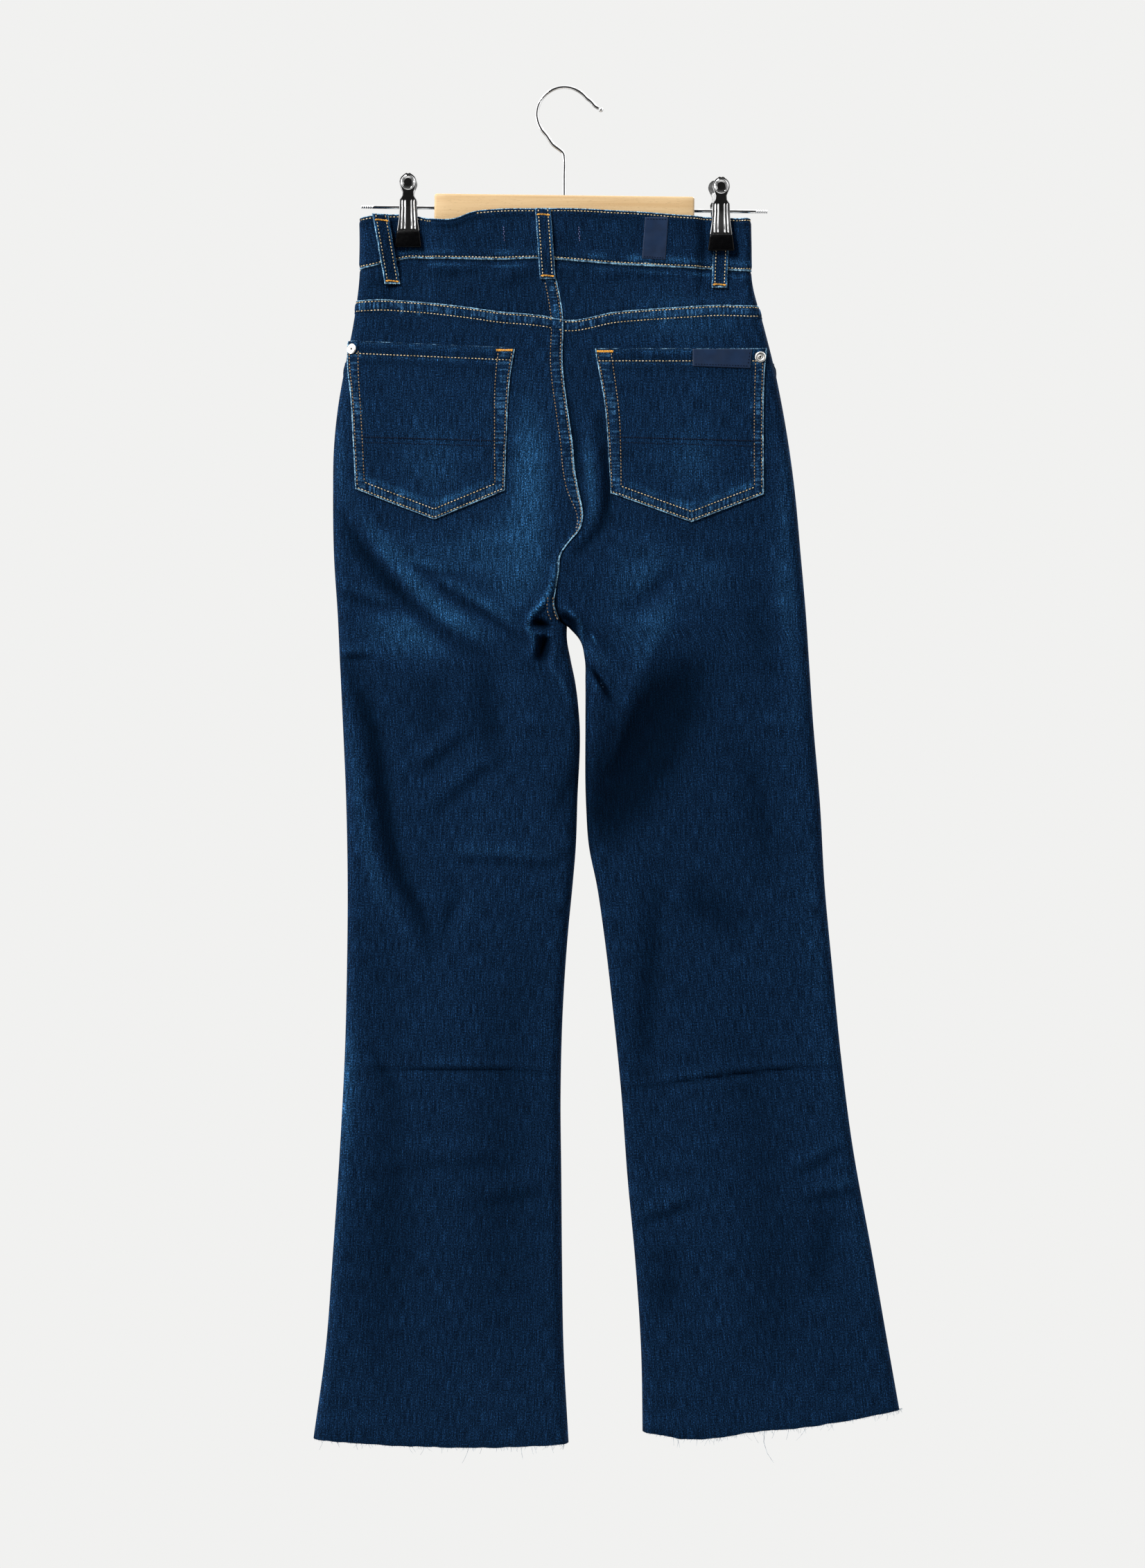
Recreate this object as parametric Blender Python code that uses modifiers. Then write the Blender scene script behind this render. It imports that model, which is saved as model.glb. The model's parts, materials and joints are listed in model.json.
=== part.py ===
"""Blue jeans hung by the waistband from a clip hanger, seen from behind.

Frame: metres, +Z up. The back of the jeans faces -Y and the wearer's left is at -X.
The origin is the inner top of the hanger's hook, where a rail carries it.
All sizes and tables are in millimetres, and MM turns them into metres.
"""
import math
from collections import namedtuple

import bmesh
import bpy
from mathutils import Matrix, Vector

MM = 0.001

# Cloth: wall thicknesses, the gap kept at every seam and the width of a rounded edge.
PANEL_WALL = 1.2
BAND_WALL = 2.4
POCKET_WALL = 1.2
LOOP_WALL = 1.6
TRIM_WALL = 0.8
GAP = 0.3
EDGE_RADIUS = 9.0
BAND_EDGE_RADIUS = 6.0
ROUND_ANGLES = (0, 22, 50, 90)

# Heights of the cloth's main lines.
YOKE_LEVEL = -190.0
FRONT_LEVEL = -165.0
LEVEL_FROM = -300.0
CROTCH = -462.5
CLOSING_FROM = -430.0
CROTCH_EASE = 1.6
HEM_LEVEL = -1160.0
HEM_FROM = -1020.0

# The clips press both layers together here.
CLIP_X = {"left": -134.0, "right": 134.5}
PINCH_DEPTH = 1.6
PINCH_FLAT = 14.0
PINCH_END = 23.5
PINCH_BOTTOM = -141.0
PINCH_FADE = -205.0

# Fly lap of the left front, and the lap of the waistband over it.
FLY_LAP = 6.0
FLY_BOTTOM = -318.0
FLY_LIFT = PANEL_WALL + GAP + 0.1
BAND_LAP = 24.0
BAND_LIFT = BAND_WALL + GAP + 0.1

# Front pocket openings: half axes of the scoop round the corner of the side seam and waist.
SCOOP_ACROSS = 74.0
SCOOP_DOWN = 80.0
SCOOP_SIDES = 40
SCOOP_REACH = 44.0

# How trims cut from the rounded side are squared to it: its usual normal and depth there.
WRAP_NORMAL = (-0.7, -0.7, 0.0)
WRAP_DEPTH = -5.0

# Extra clearance of pieces that lie on curved cloth.
LIE_EASE = 0.15

# Hanger.
HANGER_TILT = math.radians(0.7)
WIRE = 3.0
HOOK_RADIUS = 23.5
HOOK_CENTRE_Z = -22.0
HOOK_ARC = (225.0, 38.0)
HOOK_STEPS = 18
HOOK_STEM = ((0.0, -76.0), (0.0, -60.0), (-0.4, -57.0), (-1.6, -54.6), (-3.6, -52.8), (-9.6, -48.2))
HOOK_TIP = ((22.6, -10.8), (26.4, -15.0), (29.4, -16.8))
BALL_RADIUS = 2.1
BAR_SIZE = (223.0, 13.0, 26.0)
BAR_CENTRE_Z = -105.0
BAR_BEVEL = 1.5
ROD_DIAMETER = 3.2
ROD_LENGTH = 349.0
ROD_CENTRE_Z = -103.5
ROD_RIB = 2.2
ROD_RIBS = 4
ROD_BORE = ROD_DIAMETER + 2 * GAP
STEM_DEPTH = 8.0
SPRING_DIAMETER = 8.8
SPRING_LENGTH = 12.0
PLATE_WALL = 1.0
PAD_THICKNESS = 5.0
PAD_HEIGHT = 14.0
PAD_TOP_WIDTH = 19.5
PAD_BOTTOM_WIDTH = 23.0

Edge = namedtuple("Edge", "z left right")
OUTLINE = (
    Edge(-104, -175.5, 159.6),
    Edge(-132, -175.0, 160.1),
    Edge(-168, -176.5, 161.6),
    Edge(-204, -181.5, 171.2),
    Edge(-240, -188.6, 180.3),
    Edge(-275, -194.6, 187.4),
    Edge(-311, -198.1, 193.4),
    Edge(-347, -198.7, 198.1),
    Edge(-400, -198.0, 203.0),
    Edge(-454, -194.6, 207.7),
    Edge(-489, -193.0, 210.0),
    Edge(-543, -190.4, 213.6),
    Edge(-614, -187.4, 219.6),
    Edge(-686, -186.2, 223.7),
    Edge(-757, -186.8, 230.3),
    Edge(-829, -188.6, 237.4),
    Edge(-900, -192.2, 246.3),
    Edge(-1007, -199.3, 265.4),
    Edge(-1079, -204.7, 277.9),
    Edge(-1170, -217.0, 294.0),
)
INSEAM = (
    Edge(-462.5, 2.9, 2.9),
    Edge(-472, 2.4, 11.9),
    Edge(-490, 5.4, 17.3),
    Edge(-510, 9.5, 17.9),
    Edge(-543, 13.1, 17.9),
    Edge(-614, 11.3, 18.4),
    Edge(-650, 10.1, 20.8),
    Edge(-686, 7.1, 28.0),
    Edge(-722, 3.6, 33.3),
    Edge(-793, -1.2, 41.7),
    Edge(-864, -3.0, 48.8),
    Edge(-936, -2.4, 54.1),
    Edge(-1007, -1.8, 60.7),
    Edge(-1079, -0.6, 65.5),
    Edge(-1170, 4.2, 67.2),
)

# Where the left and right halves meet, on the back and on the front.
Seam = namedtuple("Seam", "z back front")
CENTRE_SEAM = (
    Seam(-104, -16.0, -8.0),
    Seam(-150, -10.0, -8.0),
    Seam(-166, -6.4, -7.5),
    Seam(-196, -1.2, -7.0),
    Seam(-238, -1.4, -6.0),
    Seam(-280, 3.6, -5.0),
    Seam(-305, 7.2, -4.5),
    Seam(-330, 9.5, -4.0),
    Seam(-350, 13.3, -3.5),
    Seam(-368, 16.2, -3.0),
    Seam(-380, 13.3, -2.5),
    Seam(-389, 5.4, -2.0),
    Seam(-400, -2.4, -1.5),
    Seam(-415, -5.0, -1.0),
    Seam(-430, -7.0, -0.5),
    Seam(-445, -8.0, 0.5),
    Seam(-455, -3.5, 1.5),
    Seam(-462.5, 2.9, 2.9),
)

# Distance of each layer from the middle plane of the hanging garment.
Depth = namedtuple("Depth", "z back front")
DEPTHS = (
    Depth(-104, 9.2, 9.2),
    Depth(-150, 9.2, 9.2),
    Depth(-200, 10.5, 10.0),
    Depth(-300, 13.0, 12.0),
    Depth(-400, 13.0, 12.0),
    Depth(-462, 12.0, 12.0),
    Depth(-620, 12.0, 12.0),
    Depth(-850, 11.5, 11.5),
    Depth(-1000, 12.5, 12.5),
    Depth(-1170, 15.0, 15.0),
)

# Seam lines across the back and the front.
BackLine = namedtuple("BackLine", "x top waist yoke")
BACK_LINES = (
    BackLine(-200, -111.6, -156.1, -182.7),
    BackLine(-176, -111.6, -156.1, -182.7),
    BackLine(-158, -108.8, -152.3, -181.9),
    BackLine(-134, -108.6, -146.6, -183.2),
    BackLine(-112, -112.4, -147.3, -185.0),
    BackLine(-95, -112.3, -147.6, -187.0),
    BackLine(-79, -106.6, -148.0, -189.0),
    BackLine(-60, -104.4, -148.3, -191.8),
    BackLine(-16, -103.8, -147.5, -196.2),
    BackLine(0, -103.6, -148.6, -199.4),
    BackLine(45, -105.6, -152.4, -192.4),
    BackLine(74, -107.2, -154.0, -190.0),
    BackLine(97, -109.2, -155.0, -188.5),
    BackLine(134, -111.0, -156.4, -186.6),
    BackLine(162, -111.8, -158.0, -187.2),
    BackLine(200, -111.8, -158.0, -187.2),
)
FrontLine = namedtuple("FrontLine", "x top waist")
FRONT_LINES = (
    FrontLine(-200, -111.6, -156.1),
    FrontLine(-176, -111.6, -156.1),
    FrontLine(-134, -114.5, -158.5),
    FrontLine(-90, -122.0, -166.0),
    FrontLine(-45, -128.5, -172.5),
    FrontLine(-8, -131.0, -175.0),
    FrontLine(30, -129.5, -173.5),
    FrontLine(75, -123.5, -167.5),
    FrontLine(134, -114.5, -159.5),
    FrontLine(162, -111.8, -158.0),
    FrontLine(200, -111.8, -158.0),
)
Hem = namedtuple("Hem", "x z")
HEMS = {
    "left": (
        Hem(-217, -1159.3), Hem(-154, -1163.8), Hem(-40, -1165.4), Hem(4, -1163.0),
    ),
    "right": (
        Hem(67, -1153.0), Hem(110, -1159.0), Hem(163, -1152.6), Hem(210, -1148.0),
        Hem(258, -1140.0), Hem(290, -1134.0),
    ),
}

# Section heights of the leg panels, and the share of a section's width of its flat columns.
SHARED_LEVELS = (
    -240, -270, -300, -330, -350, -368, -380, -389, -400, -415, -430, -445, -455,
    CROTCH, -472, -490, -520, -560, -610, -650, -700, -750, -800, -845, -900, -960,
    -1020, -1090, HEM_LEVEL,
)
BACK_LEVELS = (YOKE_LEVEL, -217) + SHARED_LEVELS
FRONT_LEVELS = (FRONT_LEVEL, -195, -218) + SHARED_LEVELS
FLAT_COLUMNS = {
    "back_left": (0.1125, 0.1875, 0.3375, 0.4125, 0.606, 0.8),
    "front_left": (0.108, 0.18, 0.323, 0.395, 0.6, 0.8),
    "back_right": (0.08, 0.216, 0.284, 0.4545, 0.636, 0.818),
    "front_right": (0.083, 0.226, 0.298, 0.46, 0.64, 0.82),
}
BAND_ROWS = (0.0, 0.4, 0.78, 1.0)
YOKE_ROWS = (0.0, 0.5, 1.0)

# The largest folds: a soft trough along three points, with its half width and its depth.
Fold = namedtuple("Fold", "layer x1 z1 x2 z2 x3 z3 width depth")
FOLDS = (
    Fold("back", 18, -238, 36, -338, 18, -412, 14, 4.5),
    Fold("back", -182, -352, -141, -423, -70, -478, 13, 5.0),
    Fold("back", -171, -519, -145, -667, -116, -746, 13, 5.0),
    Fold("back", 104, -460, 88, -540, 32, -622, 34, 6.0),
    Fold("front", -150, -380, -95, -420, -40, -428, 14, 4.0),
    Fold("front", -150, -560, -135, -660, -100, -740, 16, 4.0),
    Fold("front", 160, -390, 100, -425, 40, -440, 14, 4.0),
    Fold("front", 150, -520, 110, -600, 70, -680, 24, 5.0),
)

# Outlines of the patch pockets, from the top outer corner round to the tip.
Corner = namedtuple("Corner", "x z")
POCKETS = {
    "left": (
        Corner(-42.4, -223.7), Corner(-50.8, -346.0), Corner(-111.4, -371.0),
        Corner(-179.0, -345.2), Corner(-183.8, -217.6),
    ),
    "right": (
        Corner(26.1, -224.3), Corner(172.3, -224.3), Corner(170.9, -349.3),
        Corner(108.8, -373.2), Corner(40.5, -348.6),
    ),
}
WAIST_PATCH = (
    Corner(89.2, -111.8), Corner(86.6, -148.2), Corner(66.6, -147.0), Corner(69.2, -111.4),
)
POCKET_TAB = (
    Corner(160.7, -225.0), Corner(160.2, -241.0), Corner(110.0, -242.0), Corner(110.0, -225.0),
)

# Belt loops: the x of the top and bottom ends, and how far each stands off in its middle.
Loop = namedtuple("Loop", "layer side x_top x_bottom length slack")
BELT_LOOPS = {
    "belt_loop_centre_back": Loop("back", "left", -18.4, -14.2, 61.0, 2.2),
    "belt_loop_back_left": Loop("back", "left", -158.0, -147.4, 60.0, 2.2),
    "belt_loop_back_right": Loop("back", "right", 135.5, 133.0, 61.0, 0.0),
    "belt_loop_front_left": Loop("front", "left", -92.0, -92.0, 58.0, 2.2),
    "belt_loop_front_right": Loop("front", "right", 80.0, 80.0, 58.0, 2.2),
}
LOOP_WIDTH = 13.3
LOOP_ROWS = (0.0, 0.1, 0.22, 0.5, 0.76, 0.88, 1.0)
LOOP_STANDOFF = (0.0, 0.0, 0.7, 1.0, 0.7, 0.0, 0.0)

# Turned pieces: radius and height of each step from the base up.
RIVET_PROFILE = ((0.0, 0.0), (4.6, 0.0), (4.6, 0.5), (3.6, 1.1), (2.2, 0.8), (0.0, 0.9))
BUTTON_PROFILE = (
    (0.0, 0.0), (3.0, 0.0), (3.0, 1.6), (8.5, 1.6), (8.5, 2.6), (7.4, 3.4), (6.2, 3.0),
    (0.0, 3.2),
)
RIVETS = {"pocket_rivet_left": Corner(-180.5, -225.0), "pocket_rivet_right": Corner(168.0, -231.8)}
BUTTON_HEIGHT = -153.0

# Clip plate: half width and distance from the clip's own middle plane at each height.
Plate = namedtuple("Plate", "z half out")
PLATE_ROWS = (
    Plate(27.8, 2.6, 11.2), Plate(25.6, 5.4, 10.6), Plate(21.0, 7.3, 9.4),
    Plate(16.8, 6.4, 8.4), Plate(12.6, 4.7, 7.5), Plate(9.0, 5.0, 6.8),
    Plate(5.6, 7.3, 6.2), Plate(0.0, 7.5, 5.7), Plate(-10.0, 7.9, 5.6),
    Plate(-20.6, 9.4, 5.6),
)

# Material colours (linear RGB), roughness and metallic value.
Finish = namedtuple("Finish", "colour roughness metallic")
FINISHES = {
    "denim": Finish((0.010, 0.030, 0.075), 0.85, 0.0),
    "denim_trim": Finish((0.018, 0.050, 0.115), 0.85, 0.0),
    "navy_trim": Finish((0.004, 0.008, 0.022), 0.8, 0.0),
    "silver": Finish((0.72, 0.72, 0.70), 0.25, 1.0),
    "chrome": Finish((0.80, 0.80, 0.80), 0.08, 1.0),
    "beech": Finish((0.68, 0.45, 0.22), 0.5, 0.0),
    "rubber": Finish((0.008, 0.008, 0.010), 0.6, 0.0),
}


# ---- Small helpers -------------------------------------------------------------------

def ramp(value, start, end):
    """0 at start, 1 at end, smooth in between."""
    t = min(1.0, max(0.0, (value - start) / (end - start)))
    return t * t * (3.0 - 2.0 * t)


def look_up(table, key, column, value):
    """Straight-line value of a table's column at a key, for tables sorted either way."""
    rows = sorted(table, key=lambda row: getattr(row, key))
    value = min(max(value, getattr(rows[0], key)), getattr(rows[-1], key))
    for low, high in zip(rows, rows[1:]):
        if value <= getattr(high, key):
            span = getattr(high, key) - getattr(low, key)
            share = (value - getattr(low, key)) / span
            return getattr(low, column) + share * (getattr(high, column) - getattr(low, column))
    return getattr(rows[-1], column)


def outward(layer):
    """Sign of y that points out of the garment on this layer."""
    return -1.0 if layer == "back" else 1.0


def side_sign(side):
    return -1.0 if side == "left" else 1.0


def clear_scene():
    for existing in list(bpy.data.objects):
        bpy.data.objects.remove(existing, do_unlink=True)


def new_collection(name):
    collection = bpy.data.collections.new(name)
    bpy.context.scene.collection.children.link(collection)
    return collection


def make_materials():
    materials = {}
    for name, finish in FINISHES.items():
        material = bpy.data.materials.new(name)
        material.use_nodes = True
        shader = material.node_tree.nodes["Principled BSDF"]
        shader.inputs["Base Color"].default_value = (*finish.colour, 1.0)
        shader.inputs["Roughness"].default_value = finish.roughness
        shader.inputs["Metallic"].default_value = finish.metallic
        materials[name] = material
    return materials


def link_object(name, data, finish, parent=None):
    """Adds an object to the garment's collection, with its own copy of a finish."""
    piece = bpy.data.objects.new(name, data)
    PARTS.objects.link(piece)
    material = MATERIALS[finish].copy()
    material.name = name + "_" + finish
    data.materials.append(material)
    piece.parent = parent
    return piece


def link_cutter(name, mesh, parent=None):
    cutter = bpy.data.objects.new(name, mesh)
    CUTTERS.objects.link(cutter)
    cutter.hide_render = True
    cutter.display_type = "WIRE"
    cutter.parent = parent
    return cutter


def mesh_from(bm, name):
    mesh = bpy.data.meshes.new(name)
    bm.to_mesh(mesh)
    bm.free()
    return mesh


def add_boolean(piece, operation, cutter):
    modifier = piece.modifiers.new(operation.lower(), "BOOLEAN")
    modifier.operation = operation
    modifier.object = cutter


def add_wall(piece, thickness):
    modifier = piece.modifiers.new("wall", "SOLIDIFY")
    modifier.thickness = thickness * MM
    modifier.offset = 0.0
    modifier.use_even_offset = True


# ---- Shape of the hanging garment ----------------------------------------------------

def outer_x(side, z):
    """Middle of the wall at the silhouette."""
    return look_up(OUTLINE, "z", side, z) - side_sign(side) * PANEL_WALL / 2


def inner_x(side, layer, z):
    """Centre seam above the crotch, inseam below it, kept half a gap from the other half."""
    if z >= CLOSING_FROM:
        return look_up(CENTRE_SEAM, "z", layer, z) + side_sign(side) * GAP / 2
    clearance = side_sign(side) * (GAP + PANEL_WALL) / 2
    if z >= CROTCH:
        return look_up(CENTRE_SEAM, "z", layer, z) + clearance * CROTCH_EASE
    return look_up(INSEAM, "z", side, z) + clearance


def fold_offset(layer, x, z):
    """How far the folds pull a point in towards the middle plane."""
    total = 0.0
    for fold in FOLDS:
        if fold.layer != layer:
            continue
        points = (
            Vector((fold.x1, fold.z1)), Vector((fold.x2, fold.z2)), Vector((fold.x3, fold.z3)),
        )
        lengths = [(b - a).length for a, b in zip(points, points[1:])]
        best = (1e9, 0.0)
        run = 0.0
        for a, b, length in zip(points, points[1:], lengths):
            share = min(1.0, max(0.0, (Vector((x, z)) - a).dot(b - a) / length ** 2))
            distance = (a + (b - a) * share - Vector((x, z))).length
            best = min(best, (distance, (run + share * length) / sum(lengths)))
            run += length
        taper = math.sin(math.pi * (0.08 + 0.84 * best[1]))
        total += fold.depth * taper * math.exp(-((best[0] / fold.width) ** 2))
    return total


def layer_depth(layer, side, x, z):
    """Distance of the flat part of a layer from the middle plane."""
    depth = look_up(DEPTHS, "z", layer, z)
    across = 1.0 - ramp(abs(x - CLIP_X[side]), PINCH_FLAT, PINCH_END)
    down = ramp(z, PINCH_FADE, PINCH_BOTTOM)
    depth += (PINCH_DEPTH - depth) * across * down
    return depth - fold_offset(layer, x, z)


def section_columns(side, layer, width, radius, closing):
    """Distance from the silhouette and share of full depth for each column of a section."""
    columns = []
    for angle in ROUND_ANGLES:
        turn = math.radians(angle)
        columns.append((radius * (1 - math.cos(turn)), math.sin(turn)))
    for share in FLAT_COLUMNS[layer + "_" + side]:
        columns.append((share * width, 1.0))
    for angle in reversed(ROUND_ANGLES):
        turn = math.radians(angle)
        rise = 1.0 - closing * (1.0 - math.sin(turn))
        columns.append((width - radius * (1 - math.cos(turn)), rise))
    return columns


def section(side, layer, height_at, radius=EDGE_RADIUS, closing=0.0, edge_gap=GAP / 2):
    """One section of a layer, from the silhouette to the centre seam or inseam.

    height_at(x) gives the section's z, because the sections follow the seams.
    """
    z_outer = height_at(outer_x(side, height_at(0.0)))
    x_outer = outer_x(side, z_outer)
    z_inner = height_at(inner_x(side, layer, height_at(0.0)))
    x_inner = inner_x(side, layer, z_inner)
    width = abs(x_inner - x_outer)
    points = []
    for distance, rise in section_columns(side, layer, width, radius, closing):
        x = x_outer - side_sign(side) * distance
        z = height_at(x)
        y = max(edge_gap, layer_depth(layer, side, x, z) * rise)
        points.append(Vector((x, outward(layer) * y, z)))
    return points


def leg_height(side, layer, level):
    """Height of a leg section at x: it follows the top seam above and the hem below."""
    if layer == "back":
        table, column, mean = BACK_LINES, "yoke", YOKE_LEVEL
    else:
        table, column, mean = FRONT_LINES, "waist", FRONT_LEVEL
    top = ramp(level, LEVEL_FROM, mean)
    low = ramp(level, HEM_FROM, HEM_LEVEL)

    def height(x):
        z = level
        if top > 0.0:
            z += top * (look_up(table, "x", column, x) - mean)
        if level == mean:
            z -= GAP / 2
        if low > 0.0:
            z += low * (look_up(HEMS[side], "x", "z", x) - HEM_LEVEL)
        return z
    return height


def leg_rows(side, layer):
    levels = BACK_LEVELS if layer == "back" else FRONT_LEVELS
    rows = []
    for level in levels:
        closing = 1.0 - ramp(level, CROTCH, CLOSING_FROM)
        row = section(side, layer, leg_height(side, layer, level), closing=closing)
        rows.append(row)
    return rows


def add_fly_lap(rows):
    """Carries the inner edge of the left front over the right front."""
    corner_rows = []
    for row in rows:
        if row[-1].z < FLY_BOTTOM:
            break
        lifted = [point + Vector((0, FLY_LIFT, 0)) for point in row[-4:]]
        lifted[0] = row[-4]
        lifted[-1].x += FLY_LAP
        row[-4:] = lifted
        corner_rows.append(row)
    last = corner_rows[-1]
    corner = [point + Vector((0, 0, -1.5)) for point in last]
    corner[-1].x -= FLY_LAP
    rows.insert(len(corner_rows), corner)


def line_height(layer, column, shift):
    table = BACK_LINES if layer == "back" else FRONT_LINES
    return lambda x: look_up(table, "x", column, x) + shift


def yoke_rows(side):
    rows = []
    for share in YOKE_ROWS:
        upper = line_height("back", "waist", -GAP / 2)
        lower = line_height("back", "yoke", GAP / 2)
        rows.append(section(side, "back", lambda x: upper(x) + share * (lower(x) - upper(x))))
    return rows


def band_half_section(side, layer, share):
    upper = line_height(layer, "top", 0.0)
    lower = line_height(layer, "waist", GAP / 2)
    return section(
        side, layer, lambda x: upper(x) + share * (lower(x) - upper(x)),
        radius=BAND_EDGE_RADIUS, edge_gap=0.0,
    )


def band_rows(side):
    """Rows of a waistband half, from the centre back round the side to the centre front."""
    rows = []
    for share in BAND_ROWS:
        back = band_half_section(side, "back", share)
        front = band_half_section(side, "front", share)
        if side == "left":
            for point, lap in zip(front[-3:], (0.0, 0.4, 1.0)):
                point.x += lap * BAND_LAP
                point.y += BAND_LIFT
        rows.append(back[:0:-1] + front)
    return rows


# ---- Cloth pieces --------------------------------------------------------------------

def surface(rows):
    """Triangulated open surface through the rows, facing out of the garment."""
    bm = bmesh.new()
    grid = [[bm.verts.new(point * MM) for point in row] for row in rows]
    for upper, lower in zip(grid, grid[1:]):
        for a, b, c, d in zip(upper, upper[1:], lower[1:], lower):
            bm.faces.new((a, b, c, d))
    bmesh.ops.triangulate(bm, faces=bm.faces[:])
    bm.normal_update()
    return bm


def face_out(bm, toward):
    """Turns the faces so that they point to the given side."""
    total = Vector((0, 0, 0))
    for face in bm.faces:
        total += face.normal * face.calc_area()
    if total.dot(toward) < 0:
        bmesh.ops.reverse_faces(bm, faces=bm.faces[:])
        bm.normal_update()


def cloth_piece(name, bm, wall, finish="denim"):
    piece = link_object(name, mesh_from(bm, name), finish)
    add_wall(piece, wall)
    return piece


def moved_out(rows, toward, distance):
    """The surface through the rows, moved out from it by an even distance."""
    bm = surface(rows)
    face_out(bm, toward)
    moves = [vert.normal * vert.calc_shell_factor() * distance * MM for vert in bm.verts]
    for vert, move in zip(bm.verts, moves):
        vert.co += move
    return bm


def trim_to(bm, outline, wrapped=()):
    """Keeps the part of a surface inside an outline given in x and z.

    An edge named in wrapped lies on the rounded side, and is cut square to it.
    """
    centre_x = sum(corner.x for corner in outline) / len(outline)
    centre_z = sum(corner.z for corner in outline) / len(outline)
    for index, start in enumerate(outline):
        end = outline[(index + 1) % len(outline)]
        along = Vector((end.x - start.x, 0, end.z - start.z))
        through = Vector(WRAP_NORMAL if index in wrapped else (0, 1, 0))
        depth = WRAP_DEPTH if index in wrapped else 0.0
        normal = along.cross(through).normalized()
        point = Vector((start.x, depth, start.z))
        if (Vector((centre_x, depth, centre_z)) - point).dot(normal) > 0:
            normal.negate()
        bmesh.ops.bisect_plane(
            bm, geom=bm.verts[:] + bm.edges[:] + bm.faces[:], dist=1e-6,
            plane_co=point * MM, plane_no=normal, clear_outer=True,
        )
    bmesh.ops.triangulate(bm, faces=bm.faces[:])
    bm.normal_update()


def make_leg(side, layer):
    toward = Vector((0, outward(layer), 0))
    rows = leg_rows(side, layer)
    if layer == "front" and side == "left":
        add_fly_lap(rows)
    bm = surface(rows)
    face_out(bm, toward)
    return cloth_piece(layer + "_" + side, bm, PANEL_WALL)


def make_scoop_cutter(side, shrink):
    """A block through the front layer at the corner of the waist and the side seam."""
    bm = bmesh.new()
    corner_x = look_up(OUTLINE, "z", side, -180.0)
    corner_z = look_up(FRONT_LINES, "x", "waist", corner_x)
    centre = Vector((corner_x, SCOOP_REACH / 2 - 2.0, corner_z))
    bmesh.ops.create_cone(
        bm, cap_ends=True, segments=SCOOP_SIDES, radius1=1.0, radius2=1.0, depth=1.0,
        matrix=Matrix.Rotation(math.radians(90), 4, "X"),
    )
    size = Vector((SCOOP_ACROSS - shrink, SCOOP_REACH, SCOOP_DOWN - shrink)) * MM
    bmesh.ops.scale(bm, vec=size, verts=bm.verts[:])
    bmesh.ops.translate(bm, vec=centre * MM, verts=bm.verts[:])
    name = "scoop_" + side + ("_inner" if shrink else "_outer")
    return link_cutter(name, mesh_from(bm, name))


def make_front_pocket(side, panel):
    """Cuts the scoop opening in the front and fills it with its denim facing."""
    add_boolean(panel, "DIFFERENCE", make_scoop_cutter(side, 0.0))
    rows = leg_rows(side, "front")[:5]
    bm = surface(rows)
    face_out(bm, Vector((0, 1, 0)))
    facing = cloth_piece("pocket_facing_" + side, bm, PANEL_WALL, "denim_trim")
    add_boolean(facing, "INTERSECT", make_scoop_cutter(side, GAP))


def make_yoke(side):
    bm = surface(yoke_rows(side))
    face_out(bm, Vector((0, -1, 0)))
    cloth_piece("yoke_" + side, bm, PANEL_WALL)


def make_waistband(side):
    bm = surface(band_rows(side))
    face_out(bm, Vector((side_sign(side), 0, 0)))
    cloth_piece("waistband_" + side, bm, BAND_WALL)


def make_back_pocket(side):
    distance = (PANEL_WALL + POCKET_WALL) / 2 + GAP + LIE_EASE
    bm = moved_out(leg_rows(side, "back"), Vector((0, -1, 0)), distance)
    trim_to(bm, POCKETS[side], wrapped=(3,) if side == "left" else ())
    cloth_piece("back_pocket_" + side, bm, POCKET_WALL)


def make_pocket_tab():
    distance = PANEL_WALL / 2 + POCKET_WALL + TRIM_WALL / 2 + 2 * (GAP + LIE_EASE)
    bm = moved_out(leg_rows("right", "back"), Vector((0, -1, 0)), distance)
    trim_to(bm, POCKET_TAB)
    cloth_piece("pocket_tab", bm, TRIM_WALL, "navy_trim")


def make_waist_patch():
    distance = (BAND_WALL + TRIM_WALL) / 2 + GAP
    rows = [band_half_section("right", "back", share) for share in BAND_ROWS]
    bm = moved_out(rows, Vector((0, -1, 0)), distance)
    trim_to(bm, WAIST_PATCH)
    cloth_piece("waist_patch", bm, TRIM_WALL, "navy_trim")


def loop_depth(loop, x, z, half):
    """Depth under one edge of a loop, raised where the cloth bulges between its edges."""
    samples = [x - half + half * 2 * step / 8 for step in range(9)]
    depths = [layer_depth(loop.layer, loop.side, sample, z) for sample in samples]
    first, last = depths[0], depths[-1]
    bulge = max(
        depth - (first + (last - first) * step / 8) for step, depth in enumerate(depths)
    )
    return first + bulge, last + bulge


def make_belt_loop(name, loop):
    """A strip from the waistband's top edge to just below its seam, slack in its middle."""
    top = look_up(BACK_LINES if loop.layer == "back" else FRONT_LINES, "x", "top", loop.x_top)
    half = LOOP_WIDTH / 2
    clear = (BAND_WALL + LOOP_WALL) / 2 + GAP + LIE_EASE
    rows = []
    for share, standoff in zip(LOOP_ROWS, LOOP_STANDOFF):
        x = loop.x_top + share * (loop.x_bottom - loop.x_top)
        z = top - share * loop.length
        depths = loop_depth(loop, x, z, half)
        out = clear + standoff * loop.slack
        rows.append([
            Vector((x - half, outward(loop.layer) * (depths[0] + out), z)),
            Vector((x + half, outward(loop.layer) * (depths[1] + out), z)),
        ])
    bm = surface(rows)
    face_out(bm, Vector((0, outward(loop.layer), 0)))
    cloth_piece(name, bm, LOOP_WALL, "denim_trim")


# ---- Turned trims --------------------------------------------------------------------

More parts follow.
